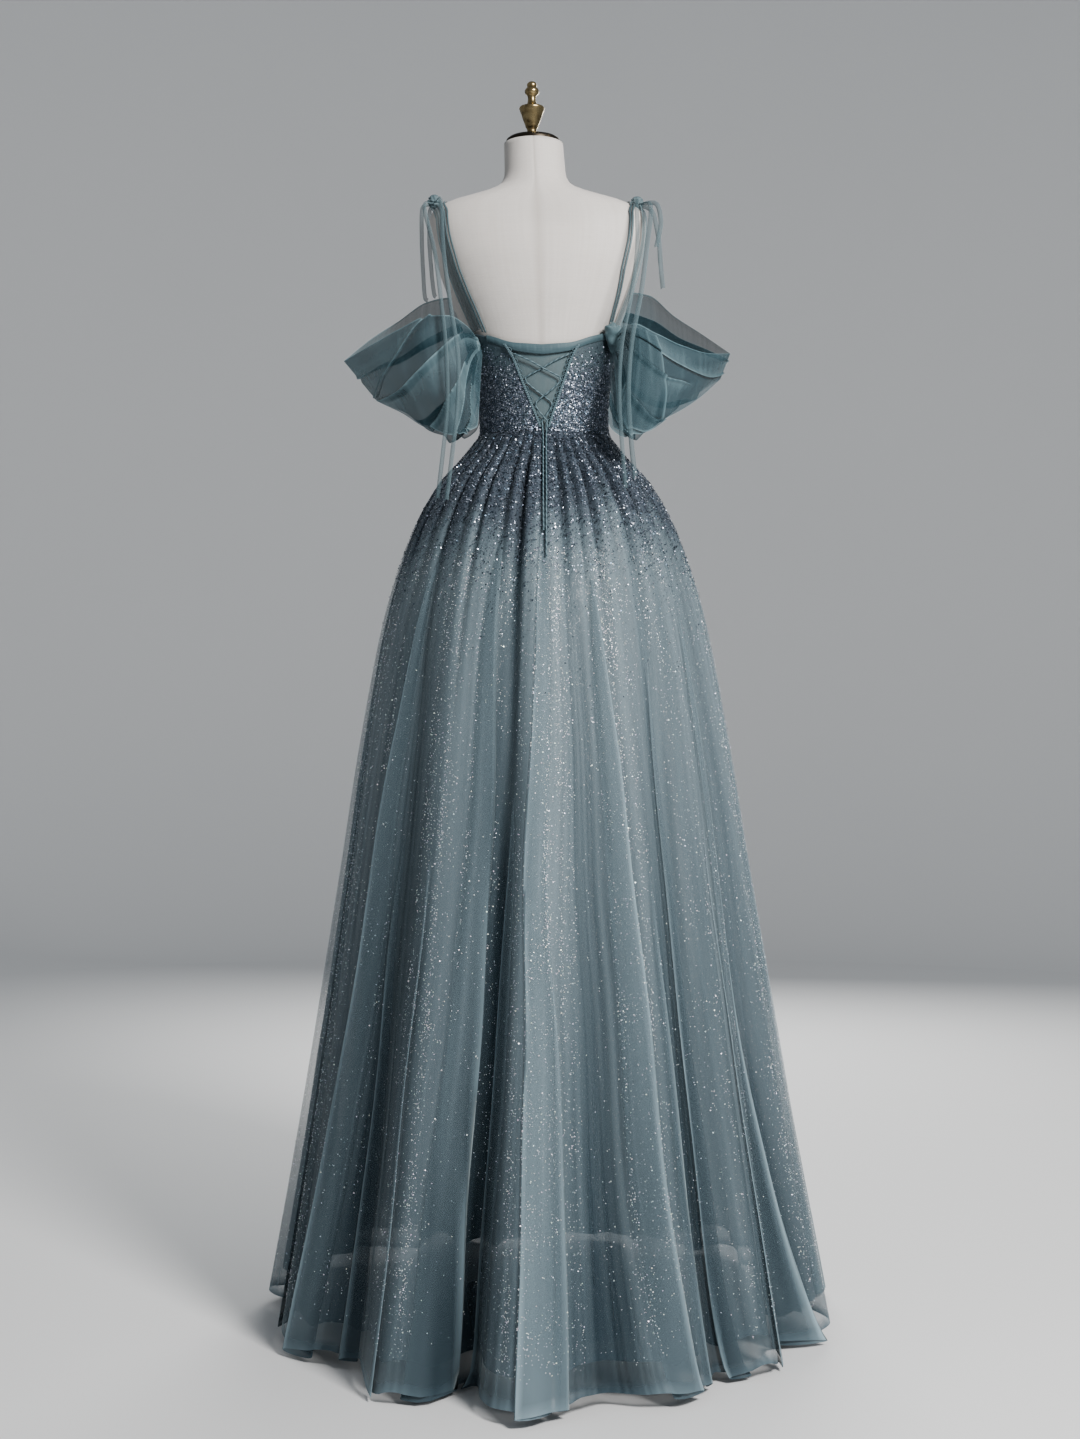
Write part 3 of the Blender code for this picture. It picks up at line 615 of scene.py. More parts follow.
def vAngle(height):
    share = eased(height, bodice["lacingV"], 1) / (eased(height, form["sections"], 1) + bodice["lift"])
    return np.degrees(np.arcsin(share ** (eased(height, form["sections"], 6) / 2)))


def beadedFinish():
    # the ground between the sequins: tulle on a slate lining, crusted with seed beads
    made = Finish("beadedTulle", Specular_IOR_Level=0.6)
    uv = made.uv()
    beads = made.cells(uv, 620.0)
    shades = made.axis(beads.other("Color"), 0)
    height = made.axis(made.place(), 2)
    dense = ((1.535 - height) * 18.0).held(0.12)
    bead = ((0.62 - beads) * 4.0).held() * dense
    ground = made.blend(made.noise(uv, 30.0), *bodice["ground"])
    bright = made.blend((shades * 1.5 - 0.35).held(), *bodice["beads"])
    made.set("Base Color", made.blend(bead * 0.85, ground, bright))
    made.set("Roughness", (0.62 - bead * 0.36).held())
    made.set("Metallic", bead * 0.45)
    made.bump(bead, 0.7, 0.0008)
    return made


net = {
    "threads": 3400.0,
    "sheenTint": colour(0.75, 0.88, 0.92),
}


def netted(made, uv, cover):
    # cover, a little more on the net's threads, which are waves that cross on the slant
    across, up = (made.axis(uv, way) * net["threads"] for way in (0, 1))
    crossed = (across + up).wave() * (across - up).wave()
    thread = (crossed * crossed * -3.0 + 1.0).held()
    return (cover * (0.985 + thread * 0.02)).held()


def sheerFinish(name, piece):
    # net whose cover is thin on flat cloth and dense where the mark named fold says that it lies double
    thin, dense = piece["cover"]
    made = Finish(name, Roughness=0.72, Sheen_Weight=0.3, Sheen_Roughness=0.4, Sheen_Tint=net["sheenTint"])
    uv = made.uv()
    fold = made.mark("fold")
    fibres = made.drawn(uv, (90.0, 3.0, 1.0))
    cover = (thin + fold * (dense - thin) + (fibres - 0.5) * 0.16).held(0.04, 0.97)
    made.set("Alpha", netted(made, uv, cover))
    # the fold mark also lightens the colour: partly denser cloth, partly a painted highlight along folds'
    # turns and edges, with painted shade beside the sleeves' folds
    made.set("Base Color", made.blend(((fibres - 0.5) * 0.4 + fold).held(), *piece["tones"]))
    made.bump(fibres, 0.25, 0.0005)
    return made


def panel(angleAt, lift, trim=0.0):
    # cloth on the figure from the waist to the top edge
    low = waist + bodice["rimGap"]

    def place(u, v):
        top = topHeight(angleAt(u, np.full(len(u), bodice["meanTop"]))) - trim
        height = low + (top - low) * v
        return lifted(formSurface, angleAt(u, height), height, np.full(len(u), lift))

    return place


def addPanels():
    beaded = beadedFinish()
    wall = bodice["clothThickness"]

    def backAngle(side):
        def angleAt(u, height):
            across = u if side > 0 else 1 - u
            return side * (vAngle(height) + (90 - vAngle(height)) * across)
        return angleAt

    def frontAngle(u, height):
        return 90 + 180 * u

    def modestyAngle(u, height):
        return (2 * u - 1) * (vAngle(height) + modesty["overlap"])

    # name, node, angle across, columns, size
    panels = (
        ("bodiceBackLeft", "bodice_back_left", backAngle(-1), 60, (0.165, 0.145)),
        ("bodiceBackRight", "bodice_back_right", backAngle(1), 60, (0.165, 0.145)),
        ("bodiceFront", "bodice_front", frontAngle, 100, (0.36, 0.21)),
    )
    for name, node, angleAt, columns, size in panels:
        addCloth(name, (columns, 60), panel(angleAt, bodice["lift"]), size, beaded, (node,),
                 "stretched", wall=wall)
    marks = {"fold": lambda u, v: np.full(len(u), modesty["fold"])}
    addCloth("lacingPanel", modesty["grid"], panel(modestyAngle, modesty["lift"], modesty["trim"]),
             modesty["clothSize"], sheerFinish("modestyTulle", modesty), ("lacing_panel",),
             "stretched", marks)


band = {
    "lift": 0.0066,
    "height": 0.0112,
    "centreHeight": 0.004,
    "centreWidth": 22,
    "overhang": 0.0006,
    "sunk": 0.0008,
    "puff": 0.0016,
    "ruck": 0.0003,
    "rows": 14,
    "thickness": 0.0008,
    "radius": 0.122,
    "tones": (colour(0.038, 0.072, 0.088), colour(0.09, 0.148, 0.17)),
    # name, node, start angle, end angle, columns
    "pieces": (
        ("bandBack", "neckline_band_back", -44, 57, 150),
        ("bandFront", "neckline_band_front", 139, 221, 110),
    ),
}


def bandFinish():
    made = Finish("bandTulle", Roughness=0.62, Sheen_Weight=0.3, Sheen_Roughness=0.4)
    uv = made.uv()
    rucks = made.drawn(uv, (24.0, 420.0, 1.0), 3.0)
    fibres = made.noise(uv, 900.0, 2.0)
    made.set("Base Color", made.blend((rucks * 0.8 + fibres * 0.3).held(), *band["tones"]))
    made.bump(rucks * 1.4 + fibres * 0.3, 0.4, 0.0006)
    return made


def addBand(name, node, start, end, columns, finish):
    def place(u, v):
        angle = start + (end - start) * u
        tall = band["height"] + band["centreHeight"] * hump(awayFrom(angle, 0), band["centreWidth"])
        height = topHeight(angle) + band["overhang"] - tall * (1 - v)
        crown = np.sin(np.pi * v)
        ruck = band["ruck"] * ripple(angle, (0.55, 0.4), (1.13, 2.0), (2.3, 1.1)) * crown
        return lifted(formSurface, angle, height, band["lift"] - band["sunk"] + band["puff"] * crown + ruck)

    size = ((end - start) / 180 * math.pi * band["radius"], band["height"])
    addCloth(name, (columns, band["rows"]), place, size, finish, (node,), "stretched",
             wall=band["thickness"])


loops = {
    "cordRadius": 0.0011,
    "cordGap": 0.9,
    "cordLift": 0.0017,
    "cordPoints": 70,
    "firstTurn": 0.55,
    "low": 1.4225,
    "high": 1.5535,
    "count": 14,
    "loopRadius": 0.0032,
    "loopCord": 0.0008,
    "loopPoints": 14,
    "loopSunk": 0.0006,
    "edgeRadius": 0.085,
    "sway": 0.1,
    "inset": 0.006,
    "margin": 0.01,
    "bandFoot": 1.529,
    "bandStep": 0.012,
    "bandRise": 0.003,
}


def addLoopEdges():
    # two cords run along each side of the V, and small loops stand between them and the lace
    def liftAt(height):
        # over the neckline band at the top
        step = limited((height - loops["bandFoot"]) / loops["bandStep"])
        return bodice["lift"] + loops["cordLift"] + loops["bandRise"] * step * step * (3 - 2 * step)

    low, high = loops["low"], loops["high"]
    for name, side in (("left", -1), ("right", 1)):
        for row in range(2):
            height = np.linspace(low, high, loops["cordPoints"])
            sway = loops["sway"] * np.sin(height * 900 + row * 3.1)
            angle = side * (vAngle(height) + loops["firstTurn"] + loops["cordGap"] * row + sway)
            route = lifted(formSurface, angle, height, liftAt(height))
            addCord(f"loopCord{name.title()}{row + 1}", route, loops["cordRadius"], cord)
        for i in range(loops["count"]):
            centre = low + loops["inset"] + (high - low - loops["margin"]) * (i + 0.5) / loops["count"]
            turn = np.linspace(-math.pi / 2, math.pi / 2, loops["loopPoints"])
            height = centre + loops["loopRadius"] * np.sin(turn)
            inward = loops["loopRadius"] * np.cos(turn) / loops["edgeRadius"] * perRadian
            angle = side * (vAngle(height) + loops["firstTurn"] - inward)
            route = lifted(formSurface, angle, height, liftAt(height) - loops["loopSunk"])
            addCord(f"eyeLoop{name.title()}{i + 1}", route, loops["loopCord"], cord)
        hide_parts(f"loop_edge_{name}")


addPanels()
bandTulle = bandFinish()
for piece in band["pieces"]:
    addBand(*piece, bandTulle)
addLoopEdges()
print("bodice built")


# Straps, bows and ties

straps = {
    "foot": 0.0038,
    "crown": 0.54,
    "bladeShare": 0.21,
    "thinWall": 0.001,
    "wideFrom": 0.01,
    "length": 0.6,
    "wideGrid": (22, 150),
    "thinGrid": (6, 150),
    "cover": (0.5, 0.92),
    "tones": (colour(0.05, 0.088, 0.104), colour(0.165, 0.232, 0.255)),
    # share of the way from the back corner to the front one, turn towards the front
    "track": (
        (0.0, 0.0), (0.41, 0.04), (0.46, 0.16), (0.5, 0.34), (0.54, 0.54), (0.58, 0.72), (0.63, 0.88),
        (0.72, 0.96), (1.0, 1.0),
    ),
    # share of the way, share of the rise from the corner to the crown
    "rise": (
        (0.0, 0.0), (0.1, 0.2), (0.21, 0.44), (0.32, 0.67), (0.41, 0.86), (0.46, 0.955), (0.5, 0.985),
        (0.54, 1.0), (0.58, 0.975), (0.63, 0.89), (0.72, 0.67), (0.86, 0.33), (1.0, 0.0),
    ),
    # name, node, side, angles at the back corner, shoulder blade and front corner, crown height, width,
    # lift
    "pieces": (
        ("tulleStrapLeft", "tulle_strap_left", -1, 54, 56, 134, 1.79, 0.019, 0.0045),
        ("tulleStrapRight", "tulle_strap_right", 1, 70, 70, 134, 1.79, 0.019, 0.0045),
        ("thinStrapLeftInner", "thin_strap_left_inner", -1, 45, 48, 142, 1.7984, 0.003, 0.0026),
        ("thinStrapLeftOuter", "thin_strap_left_outer", -1, 48, 51, 139, 1.7962, 0.003, 0.0026),
        ("thinStrapRightInner", "thin_strap_right_inner", 1, 59, 51, 142, 1.7984, 0.003, 0.0026),
        ("thinStrapRightOuter", "thin_strap_right_outer", 1, 62, 54, 139, 1.7962, 0.003, 0.0026),
    ),
}


def strapLine(piece, share):
    side, corner, blade, front, crown = piece[2:7]
    share = limited(share)
    back = corner + (blade - corner) * np.minimum(1, share / straps["bladeShare"])
    angle = side * (back + (front - back) * eased(share, straps["track"], 1))
    foot = topHeight(np.where(share < straps["crown"], corner, front)) + straps["foot"]
    height = foot + (crown - foot) * eased(share, straps["rise"], 1)
    return angle, height


def addStrap(piece, sheer, satin):
    # a wide sheer strap, or a thin one rolled from the same tulle
    name, node, *_, width, lift = piece
    wide = width > straps["wideFrom"]

    def creases(u, v, shift=0.0):
        # along the strap, and wavering on the way
        return np.sin(u * 19 + 1.5 * np.sin(v * 9) + shift)

    def place(u, v):
        angle, height = strapLine(piece, v)
        middle = formSurface(angle, height)
        normal = outward(formSurface, angle, height)
        ahead = formSurface(*strapLine(piece, v + 0.004)) - formSurface(*strapLine(piece, v - 0.004))
        across = unit(np.cross(ahead, normal))
        spread = 1.0
        rise = 0.0006 * np.sin(u * np.pi)
        if wide:
            spread = 0.62 + 0.6 * np.minimum(1, np.abs(v - straps["crown"]) / 0.45) ** 0.8
            rise = 0.0007 * creases(u, v)
        return middle + normal * (lift + rise)[:, None] + across * ((u - 0.5) * width * spread)[:, None]

    def fold(u, v):
        edge = hump(np.minimum(u, 1 - u), 0.09)
        return limited(0.15 + 0.85 * edge + 0.5 * limited(creases(u, v, 0.6)) ** 3)

    size = (width, straps["length"])
    if wide:
        addCloth(name, straps["wideGrid"], place, size, sheer, (node,), "hung",
                 {"fold": fold})
    else:
        addCloth(name, straps["thinGrid"], place, size, satin, (node,),
                 wall=straps["thinWall"])


ribbons = {
    "rows": 110,
    "columns": 14,
    "length": 0.5,
    "arc": 1.75,
    "twist": 0.35,
    "startShare": 0.8,
    # name, node, width, route
    "pieces": (
        ("tieTailLeft1", "tie_tail_left_1", 0.0115, (
            (-0.193, -0.04, 1.782), (-0.172, -0.103, 1.69), (-0.16, -0.13, 1.6), (-0.152, -0.148, 1.52),
            (-0.15, -0.156, 1.44), (-0.157, -0.156, 1.37), (-0.166, -0.157, 1.296))),
        ("tieTailLeft2", "tie_tail_left_2", 0.0115, (
            (-0.166, -0.052, 1.788), (-0.158, -0.114, 1.69), (-0.146, -0.138, 1.6), (-0.133, -0.158, 1.52),
            (-0.134, -0.168, 1.44), (-0.142, -0.17, 1.37), (-0.152, -0.173, 1.292))),
        ("bowLoopLeft1", "bow_loop_left_1", 0.012, (
            (-0.199, 0.004, 1.788), (-0.2, 0.03, 1.72), (-0.198, 0.052, 1.662), (-0.192, 0.056, 1.652))),
        ("bowLoopLeft2", "bow_loop_left_2", 0.012, (
            (-0.188, 0.022, 1.788), (-0.1885, 0.048, 1.725), (-0.184, 0.072, 1.672), (-0.18, 0.076, 1.662))),
        ("tieTailRight1", "tie_tail_right_1", 0.0115, (
            (0.147, -0.054, 1.786), (0.145, -0.114, 1.7), (0.134, -0.133, 1.62), (0.119, -0.15, 1.54),
            (0.115, -0.158, 1.46), (0.119, -0.158, 1.385), (0.124, -0.172, 1.31))),
        ("tieTailRight2", "tie_tail_right_2", 0.013, (
            (0.17, -0.046, 1.782), (0.16, -0.104, 1.7), (0.149, -0.128, 1.62), (0.134, -0.148, 1.54),
            (0.129, -0.158, 1.46), (0.134, -0.157, 1.385), (0.14, -0.162, 1.33))),
        ("bowLoopRight1", "bow_loop_right_1", 0.013, (
            (0.181, -0.006, 1.796), (0.188, -0.014, 1.768), (0.184, -0.03, 1.738), (0.179, -0.044, 1.715))),
        ("bowLoopRight2", "bow_loop_right_2", 0.013, (
            (0.176, 0.014, 1.788), (0.186, 0.018, 1.748), (0.19, 0.014, 1.7), (0.193, 0.013, 1.662))),
    ),
}


def knotPlace(node):
    low, high = (np.array(corner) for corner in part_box(node))
    return (low + high) / 2, (high[0] - low[0]) / 2


def addRibbon(order, piece, sheer):
    # a curled strip of tulle that starts inside its bow's knot
    name, node, width, route = piece
    rows, arc = ribbons["rows"], ribbons["arc"]
    side = "left" if "Left" in name else "right"
    knot, radius = knotPlace(f"knot_{side}")
    start = knot + unit(np.array(route[0]) - knot) * radius * ribbons["startShare"]
    line = smoothRoute([start, *route], rows + 1)
    ahead = unit(np.gradient(line, axis=0))
    twist = ribbons["twist"] * ripple(np.linspace(0, 6, len(line)), (1.0, order), (2.2, 2.0 * order))
    across = unit(np.cross(np.array((0.0, -1.0, 0.25)), ahead))
    facing = unit(np.cross(ahead, across))
    across = across * np.cos(twist)[:, None] + facing * np.sin(twist)[:, None]
    facing = unit(np.cross(ahead, across))

    def place(u, v):
        i = np.rint(v * (1 - 0.012 * u) * rows).astype(int)
        radius = width / (2 * arc) * (0.55 + 0.45 * limited(v * 9) ** 0.7)
        turn = (2 * u - 1) * arc
        flat = 0.75 + 0.25 * np.sin(v * 23 + width * 900)
        return (line[i] + across[i] * (radius * np.sin(turn))[:, None]
                + facing[i] * (radius * flat * (np.cos(turn) - 0.4))[:, None])

    def fold(u, v):
        return limited(0.28 + 0.8 * hump(np.minimum(u, 1 - u), 0.16) + 0.3 * hump(v, 0.06))

    size = (width, ribbons["length"])
    addCloth(name, (ribbons["columns"], rows), place, size, sheer, (node,), "hung",
             {"fold": fold})


knots = {
    "around": 48,
    "up": 32,
    "size": 0.98,
    "stretch": 1.12,
}


def addKnots(satin):
    for side in ("left", "right"):
        centre, radius = knotPlace(f"knot_{side}")
        shape = bmesh.new()
        bmesh.ops.create_uvsphere(shape, u_segments=knots["around"], v_segments=knots["up"], radius=radius)
        for vert in shape.verts:
            x, y, z = vert.co / radius
            around = math.atan2(y, x)
            pleats = 0.07 * math.sin(9 * around + 5 * z) + 0.05 * math.sin(5 * z * math.pi + 2 * around)
            wrap = -0.16 * hump(abs(z) - 0.3, 0.07) + 0.08 * hump(z, 0.22)
            vert.co *= knots["size"] + pleats * (1 - z * z) + wrap
            vert.co.z *= knots["stretch"]
        bmesh.ops.translate(shape, vec=centre, verts=shape.verts)
        finishPiece(addShape(f"knot{side.title()}", shape), satin, (f"knot_{side}",))


def satinFinish(name, tones):
    made = Finish(name, Roughness=0.6, Sheen_Weight=0.35, Sheen_Roughness=0.35)
    threads = made.drawn(made.place(), (900.0, 900.0, 120.0), 3.0)
    made.set("Base Color", made.blend(threads, *tones))
    made.bump(threads, 0.4, 0.0004)
    return made


strapSheer = sheerFinish("strapTulle", straps)
rolled = satinFinish("rolledTulle", straps["tones"])
for piece in straps["pieces"]:
    addStrap(piece, strapSheer, rolled)
addKnots(rolled)
for order, piece in enumerate(ribbons["pieces"]):
    addRibbon(order, piece, strapSheer)
print("straps and ties hung")


# Sleeves

sleeves = {
    "drop": 0.014,
    "rise": 0.02,
    "bulge": 0.012,
    "lift": 0.00604,
    "grid": (220, 126),
    "cover": (0.63, 0.97),
    "tones": (colour(0.007, 0.04, 0.056), colour(0.19, 0.285, 0.318)),
    "puffTones": (colour(0.06, 0.108, 0.128), colour(0.17, 0.255, 0.28)),
    # share of the way from the back gather to the front one, upper edge, lower edge
    "left": (
        (0.07, (-0.124, -0.096, 1.58), (-0.1, -0.108, 1.48)),
        (0.14, (-0.153, -0.112, 1.593), (-0.103, -0.131, 1.415)),
        (0.22, (-0.188, -0.118, 1.59), (-0.136, -0.14, 1.403)),
        (0.31, (-0.23, -0.098, 1.575), (-0.178, -0.122, 1.413)),
        (0.4, (-0.276, -0.062, 1.557), (-0.222, -0.083, 1.443)),
        (0.5, (-0.326, 0.0, 1.542), (-0.272, 0.0, 1.477)),
        (0.6, (-0.29, 0.056, 1.588), (-0.234, 0.083, 1.474)),
        (0.7, (-0.248, 0.095, 1.626), (-0.19, 0.124, 1.448)),
        (0.8, (-0.2, 0.12, 1.664), (-0.148, 0.143, 1.437)),
        (0.88, (-0.162, 0.132, 1.674), (-0.114, 0.143, 1.45)),
        (0.94, (-0.128, 0.13, 1.662), (-0.1, 0.139, 1.52)),
    ),
    "right": (
        (0.07, (0.126, -0.094, 1.579), (0.102, -0.104, 1.48)),
        (0.14, (0.144, -0.113, 1.58), (0.105, -0.131, 1.413)),
        (0.22, (0.178, -0.115, 1.564), (0.142, -0.138, 1.404)),
        (0.31, (0.216, -0.096, 1.55), (0.19, -0.108, 1.433)),
        (0.4, (0.256, -0.062, 1.544), (0.235, -0.068, 1.464)),
        (0.5, (0.302, 0.0, 1.554), (0.286, 0.0, 1.513)),
        (0.6, (0.262, 0.052, 1.596), (0.244, 0.07, 1.496)),
        (0.7, (0.22, 0.09, 1.634), (0.196, 0.11, 1.464)),
        (0.8, (0.18, 0.116, 1.674), (0.148, 0.14, 1.44)),
        (0.88, (0.148, 0.129, 1.682), (0.113, 0.141, 1.452)),
        (0.94, (0.118, 0.128, 1.666), (0.096, 0.137, 1.52)),
    ),
    "gatherAngles": {"left": (-53, -134), "right": (66, 134)},
    # each fold fans out from a gather: which gather, place down the strip there, how far along it is at its
    # last place down the strip, that place, its bend, where it dies away, half width, overlap, and the side
    # of its upper layer
    "folds": {
        "left": (
            ("back", 0.1, 0.5, 1.0, 1.35, 0.53, 0.075, 0.05, 1),
            ("back", -0.18, 0.5, 0.93, 2.2, 0.53, 0.045, 0.022, -1),
            ("back", 0.42, 0.3, 1.0, 1.6, 0.4, 0.055, 0.034, 1),
            ("back", 0.54, 0.22, 1.0, 2.0, 0.3, 0.045, 0.026, -1),
            ("back", 0.7, 0.19, 1.02, 2.2, 0.3, 0.045, 0.026, 1),
            ("front", 0.2, 0.5, 0.45, 1.2, 0.53, 0.09, 0.06, -1),
            ("front", 0.5, 0.36, 1.02, 1.2, 0.53, 0.07, 0.05, 1),
            ("front", 0.78, 0.22, 1.02, 1.2, 0.53, 0.06, 0.04, -1),
        ),
        "right": (
            ("back", 0.1, 0.5, 0.77, 2.6, 0.53, 0.055, 0.036, -1),
            ("back", 0.17, 0.5, 0.78, 1.2, 0.36, 0.04, 0.022, 1),
            ("back", 0.52, 0.3, 1.02, 1.6, 0.4, 0.055, 0.034, 1),
            ("back", 0.74, 0.2, 1.02, 1.8, 0.3, 0.05, 0.03, -1),
            ("front", 0.16, 0.5, 0.3, 1.2, 0.53, 0.08, 0.06, 1),
            ("front", 0.46, 0.4, 1.02, 1.2, 0.53, 0.07, 0.05, -1),
            ("front", 0.76, 0.22, 1.02, 1.2, 0.53, 0.06, 0.04, 1),
        ),
    },
    "foldRise": 0.0045,
    "foldFade": 0.05,
    # name, side, angle, half sizes, height above the top edge
    "puffs": (
        ("puffLeft", -1, -54, (0.0085, 0.0065, 0.015), -0.02),
        ("puffRight", 1, 59, (0.0225, 0.0125, 0.018), -0.002),
    ),
    "puffLift": 0.015,
    "puffTilt": 14,
    "wave": 0.007,
    "curl": 0.003,
    "edgeWave": 0.012,
    "clothSize": (0.66, 0.17),
    "flapGrid": (60, 90),
    "flapSize": (0.16, 0.17),
    # the doubled panel: share of the way along where it starts and where it ends at the top, how much further
    # it reaches at its foot, and how far it stands off
    "flap": (0.045, 0.195, 0.095, 0.006),
}


# a fold that doubles back: how far it carries the cloth, where its turns lie, and how much the lower shows
doubled = {
    "carry": 1.3,
    "turnPlace": 0.42,
    "turnWidth": 0.09,
    "under": 0.3,
}


def doubling(t):
    # how far cloth is carried along itself in a fold that doubles back, for shares of -1 to 1 across the fold
    return np.where(np.abs(t) < 1, -doubled["carry"] * np.sin(np.pi * t) * (1 - t**2), 0)


def turnLine(t, side):
    # 1 at the turn of a doubled fold that shows, and less at the one under it
    before, after = (1.0, doubled["under"]) if side > 0 else (doubled["under"], 1.0)
    first, second = (hump(t + way * doubled["turnPlace"], doubled["turnWidth"]) for way in (1, -1))
    return first * before + second * after


def foldShadeOf(t, side):
    # painted light and shade: lighter on the cloth that lies on top beside a fold, painted shadow on the
    # cloth under it
    return -side * np.tanh(3 * t) * hump(t, 2.4)


def gatherRow(share, angle):
    upper = float(topHeight(angle)) - sleeves["drop"]
    heights = np.array([upper, upper - sleeves["rise"]])
    high, low = lifted(formSurface, np.array([angle, angle], float), heights, np.full(2, sleeves["lift"]))
    return share, tuple(high), tuple(low)


def sleeveFolds(u, v, folds):
    # how far the folds carry the cloth down the strip, how far they lift it, where their turns lie, and the
    # painted light and shade beside them
    carried, raised, lines, foldShades = (np.zeros(len(u)) for _ in range(4))
    for gather, start, reach, finish, bend, end, halfWidth, overlap, layer in folds:
        along = u if gather == "back" else 1 - u
        line = start + (finish - start) * np.clip(along / reach, 0, 1.3) ** bend
        fade = limited((end - along) / sleeves["foldFade"]) * limited(along / sleeves["foldFade"])
        t = (v - line) / (halfWidth * (0.7 + 0.6 * along))
        shift = doubling(t) * fade
        carried += overlap * shift
        raised -= layer * sleeves["foldRise"] * shift
        lines += turnLine(t, -layer) * fade
        foldShades += foldShadeOf(t, -layer) * fade
    return carried, raised, lines, foldShades


def sleevePlace(side, off=0.0):
    back, front = sleeves["gatherAngles"][side]
    rows = (gatherRow(0, back), *sleeves[side], gatherRow(1, front))
    tip = next(i for i, row in enumerate(rows) if row[0] == 0.5)

    def edgeAt(u, edge):
        # two smooth halves that meet in a crease at the tip
        halves = []
        for part in (rows[:tip + 1], rows[tip:]):
            tables = [[(row[0], row[edge][axis]) for row in part] for axis in range(3)]
            halves.append(np.stack([eased(u, table, 1) for table in tables], axis=1))
        return np.where((u < 0.5)[:, None], *halves)

    hand = 1 if side == "left" else -1
    folds = sleeves["folds"][side]

    def place(u, v):
        carried, raised, _, _ = sleeveFolds(u, v, folds)
        t = v + carried
        grow = np.sin(np.pi * limited(u)) ** 0.6
        slack = np.abs(np.sin(2 * np.pi * u)) ** 0.7
        upper, lower = edgeAt(u, 1), edgeAt(u, 2)
        out = unit(upper * np.array((1.0, 1.0, 0.0)))
        wide = np.linalg.norm(upper - lower, axis=1)
        wave = sleeves["wave"] * wide * ripple(t * 9 + 7 * u, (1.0, 0.6 * hand), (1.7, 2.2)) * slack
        bulge = sleeves["bulge"] * np.sin(np.pi * limited(t)) * slack
        curl = sleeves["curl"] * slack * (hump(v, 0.04) - hump(1 - v, 0.05))
        edge = sleeves["edgeWave"] * slack * ripple(u * 31, (1.0, 0.5), (1.7, 1.9)) * v**3
        point = upper + (lower - upper) * (t + edge)[:, None]
        return point + out * (bulge + raised * grow + wave - curl + off * slack)[:, None]

    def fold(u, v):
        # denser where the cloth lies double, and since the mark also lightens the colour it carries painted
        # light and shade: a painted highlight on folds' turns, lighter cloth on top and painted shadow on the
        # cloth under a fold
        _, _, lines, foldShades = sleeveFolds(u, v, folds)
        gathered = hump(np.minimum(u, 1 - u), 0.04)
        edges = hump(np.minimum(v, 1 - v), 0.007)
        soft = 0.05 * ripple(v * 13 + 4 * u, (1.0, 0.3), (2.1, 1.2))
        return limited(0.13 + soft + 0.24 * foldShades + 0.85 * lines + 0.15 * gathered + 0.85 * edges)

    return place, fold


def addSleeves(sheer):
    for side in ("left", "right"):
        place, fold = sleevePlace(side)
        addCloth(f"sleeve{side.title()}", sleeves["grid"], place, sleeves["clothSize"], sheer,
                 (f"sleeve_{side}",), "gathered", {"fold": fold})


def addFlap(sheer):
    # the near cloth of the right sleeve lies double, from its gather to a fold that falls to the lower edge
    start, top, more, off = sleeves["flap"]
    place, _ = sleevePlace("right", off)

    def lay(u, v):
        down = 0.05 + 0.95 * v
        reach = top + more * down ** 0.8
        return place(start + (reach - start) * u, down * (1 - 0.05 * hump(u - 0.45, 0.3)))

    def fold(u, v):
        edge = 0.5 * hump(1 - u, 0.03) + 0.6 * hump(1 - v, 0.012)
        stripes = 0.1 * ripple(u * 17 + 2 * v, (1.0, 0.4), (2.3, 1.9))
        return limited(0.16 + stripes + edge)

    addCloth("sleeveFlapRight", sleeves["flapGrid"], lay, sleeves["flapSize"], sheer, (),
             "gathered", {"fold": fold})


def addPuffs(satin):
    # the tulle stands up in a soft pleated bunch where a sleeve's end is drawn in
    for name, side, angle, size, above in sleeves["puffs"]:
        height = np.array([float(topHeight(angle)) + above])
        centre = lifted(formSurface, np.array([angle], float), height, [sleeves["puffLift"]])[0]
        shape = bmesh.new()
        bmesh.ops.create_uvsphere(shape, u_segments=60, v_segments=30, radius=1)
        for vert in shape.verts:
            x, y, z = vert.co
            around = math.atan2(z, x)
            pleats = 0.1 * math.sin(7 * around + 2 * y) + 0.06 * math.sin(13 * around + 1.3)
            vert.co *= 1 + pleats * (1 - y * y) - 0.22 * hump(x + 0.25 * z, 0.16)
            down = max(0.0, -z) ** 1.5
            vert.co.x = vert.co.x * (1 - 0.55 * down) + 0.45 * side * down
            vert.co.z *= 1 + 0.7 * down
            vert.co.x *= size[0]
            vert.co.y *= size[1]
            vert.co.z *= size[2]
        for turn, axis in ((side * sleeves["puffTilt"], "Y"), (angle, "Z")):
            matrix = Matrix.Rotation(math.radians(turn), 3, axis)
            bmesh.ops.rotate(shape, verts=shape.verts, cent=(0, 0, 0), matrix=matrix)
        bmesh.ops.translate(shape, vec=centre, verts=shape.verts)
        finishPiece(addShape(name, shape), satin)


sleeveSheer = sheerFinish("wingTulle", sleeves)
addSleeves(sleeveSheer)
addFlap(sleeveSheer)
addPuffs(satinFinish("puffTulle", sleeves["puffTones"]))
print("sleeves gathered")


# The skirt

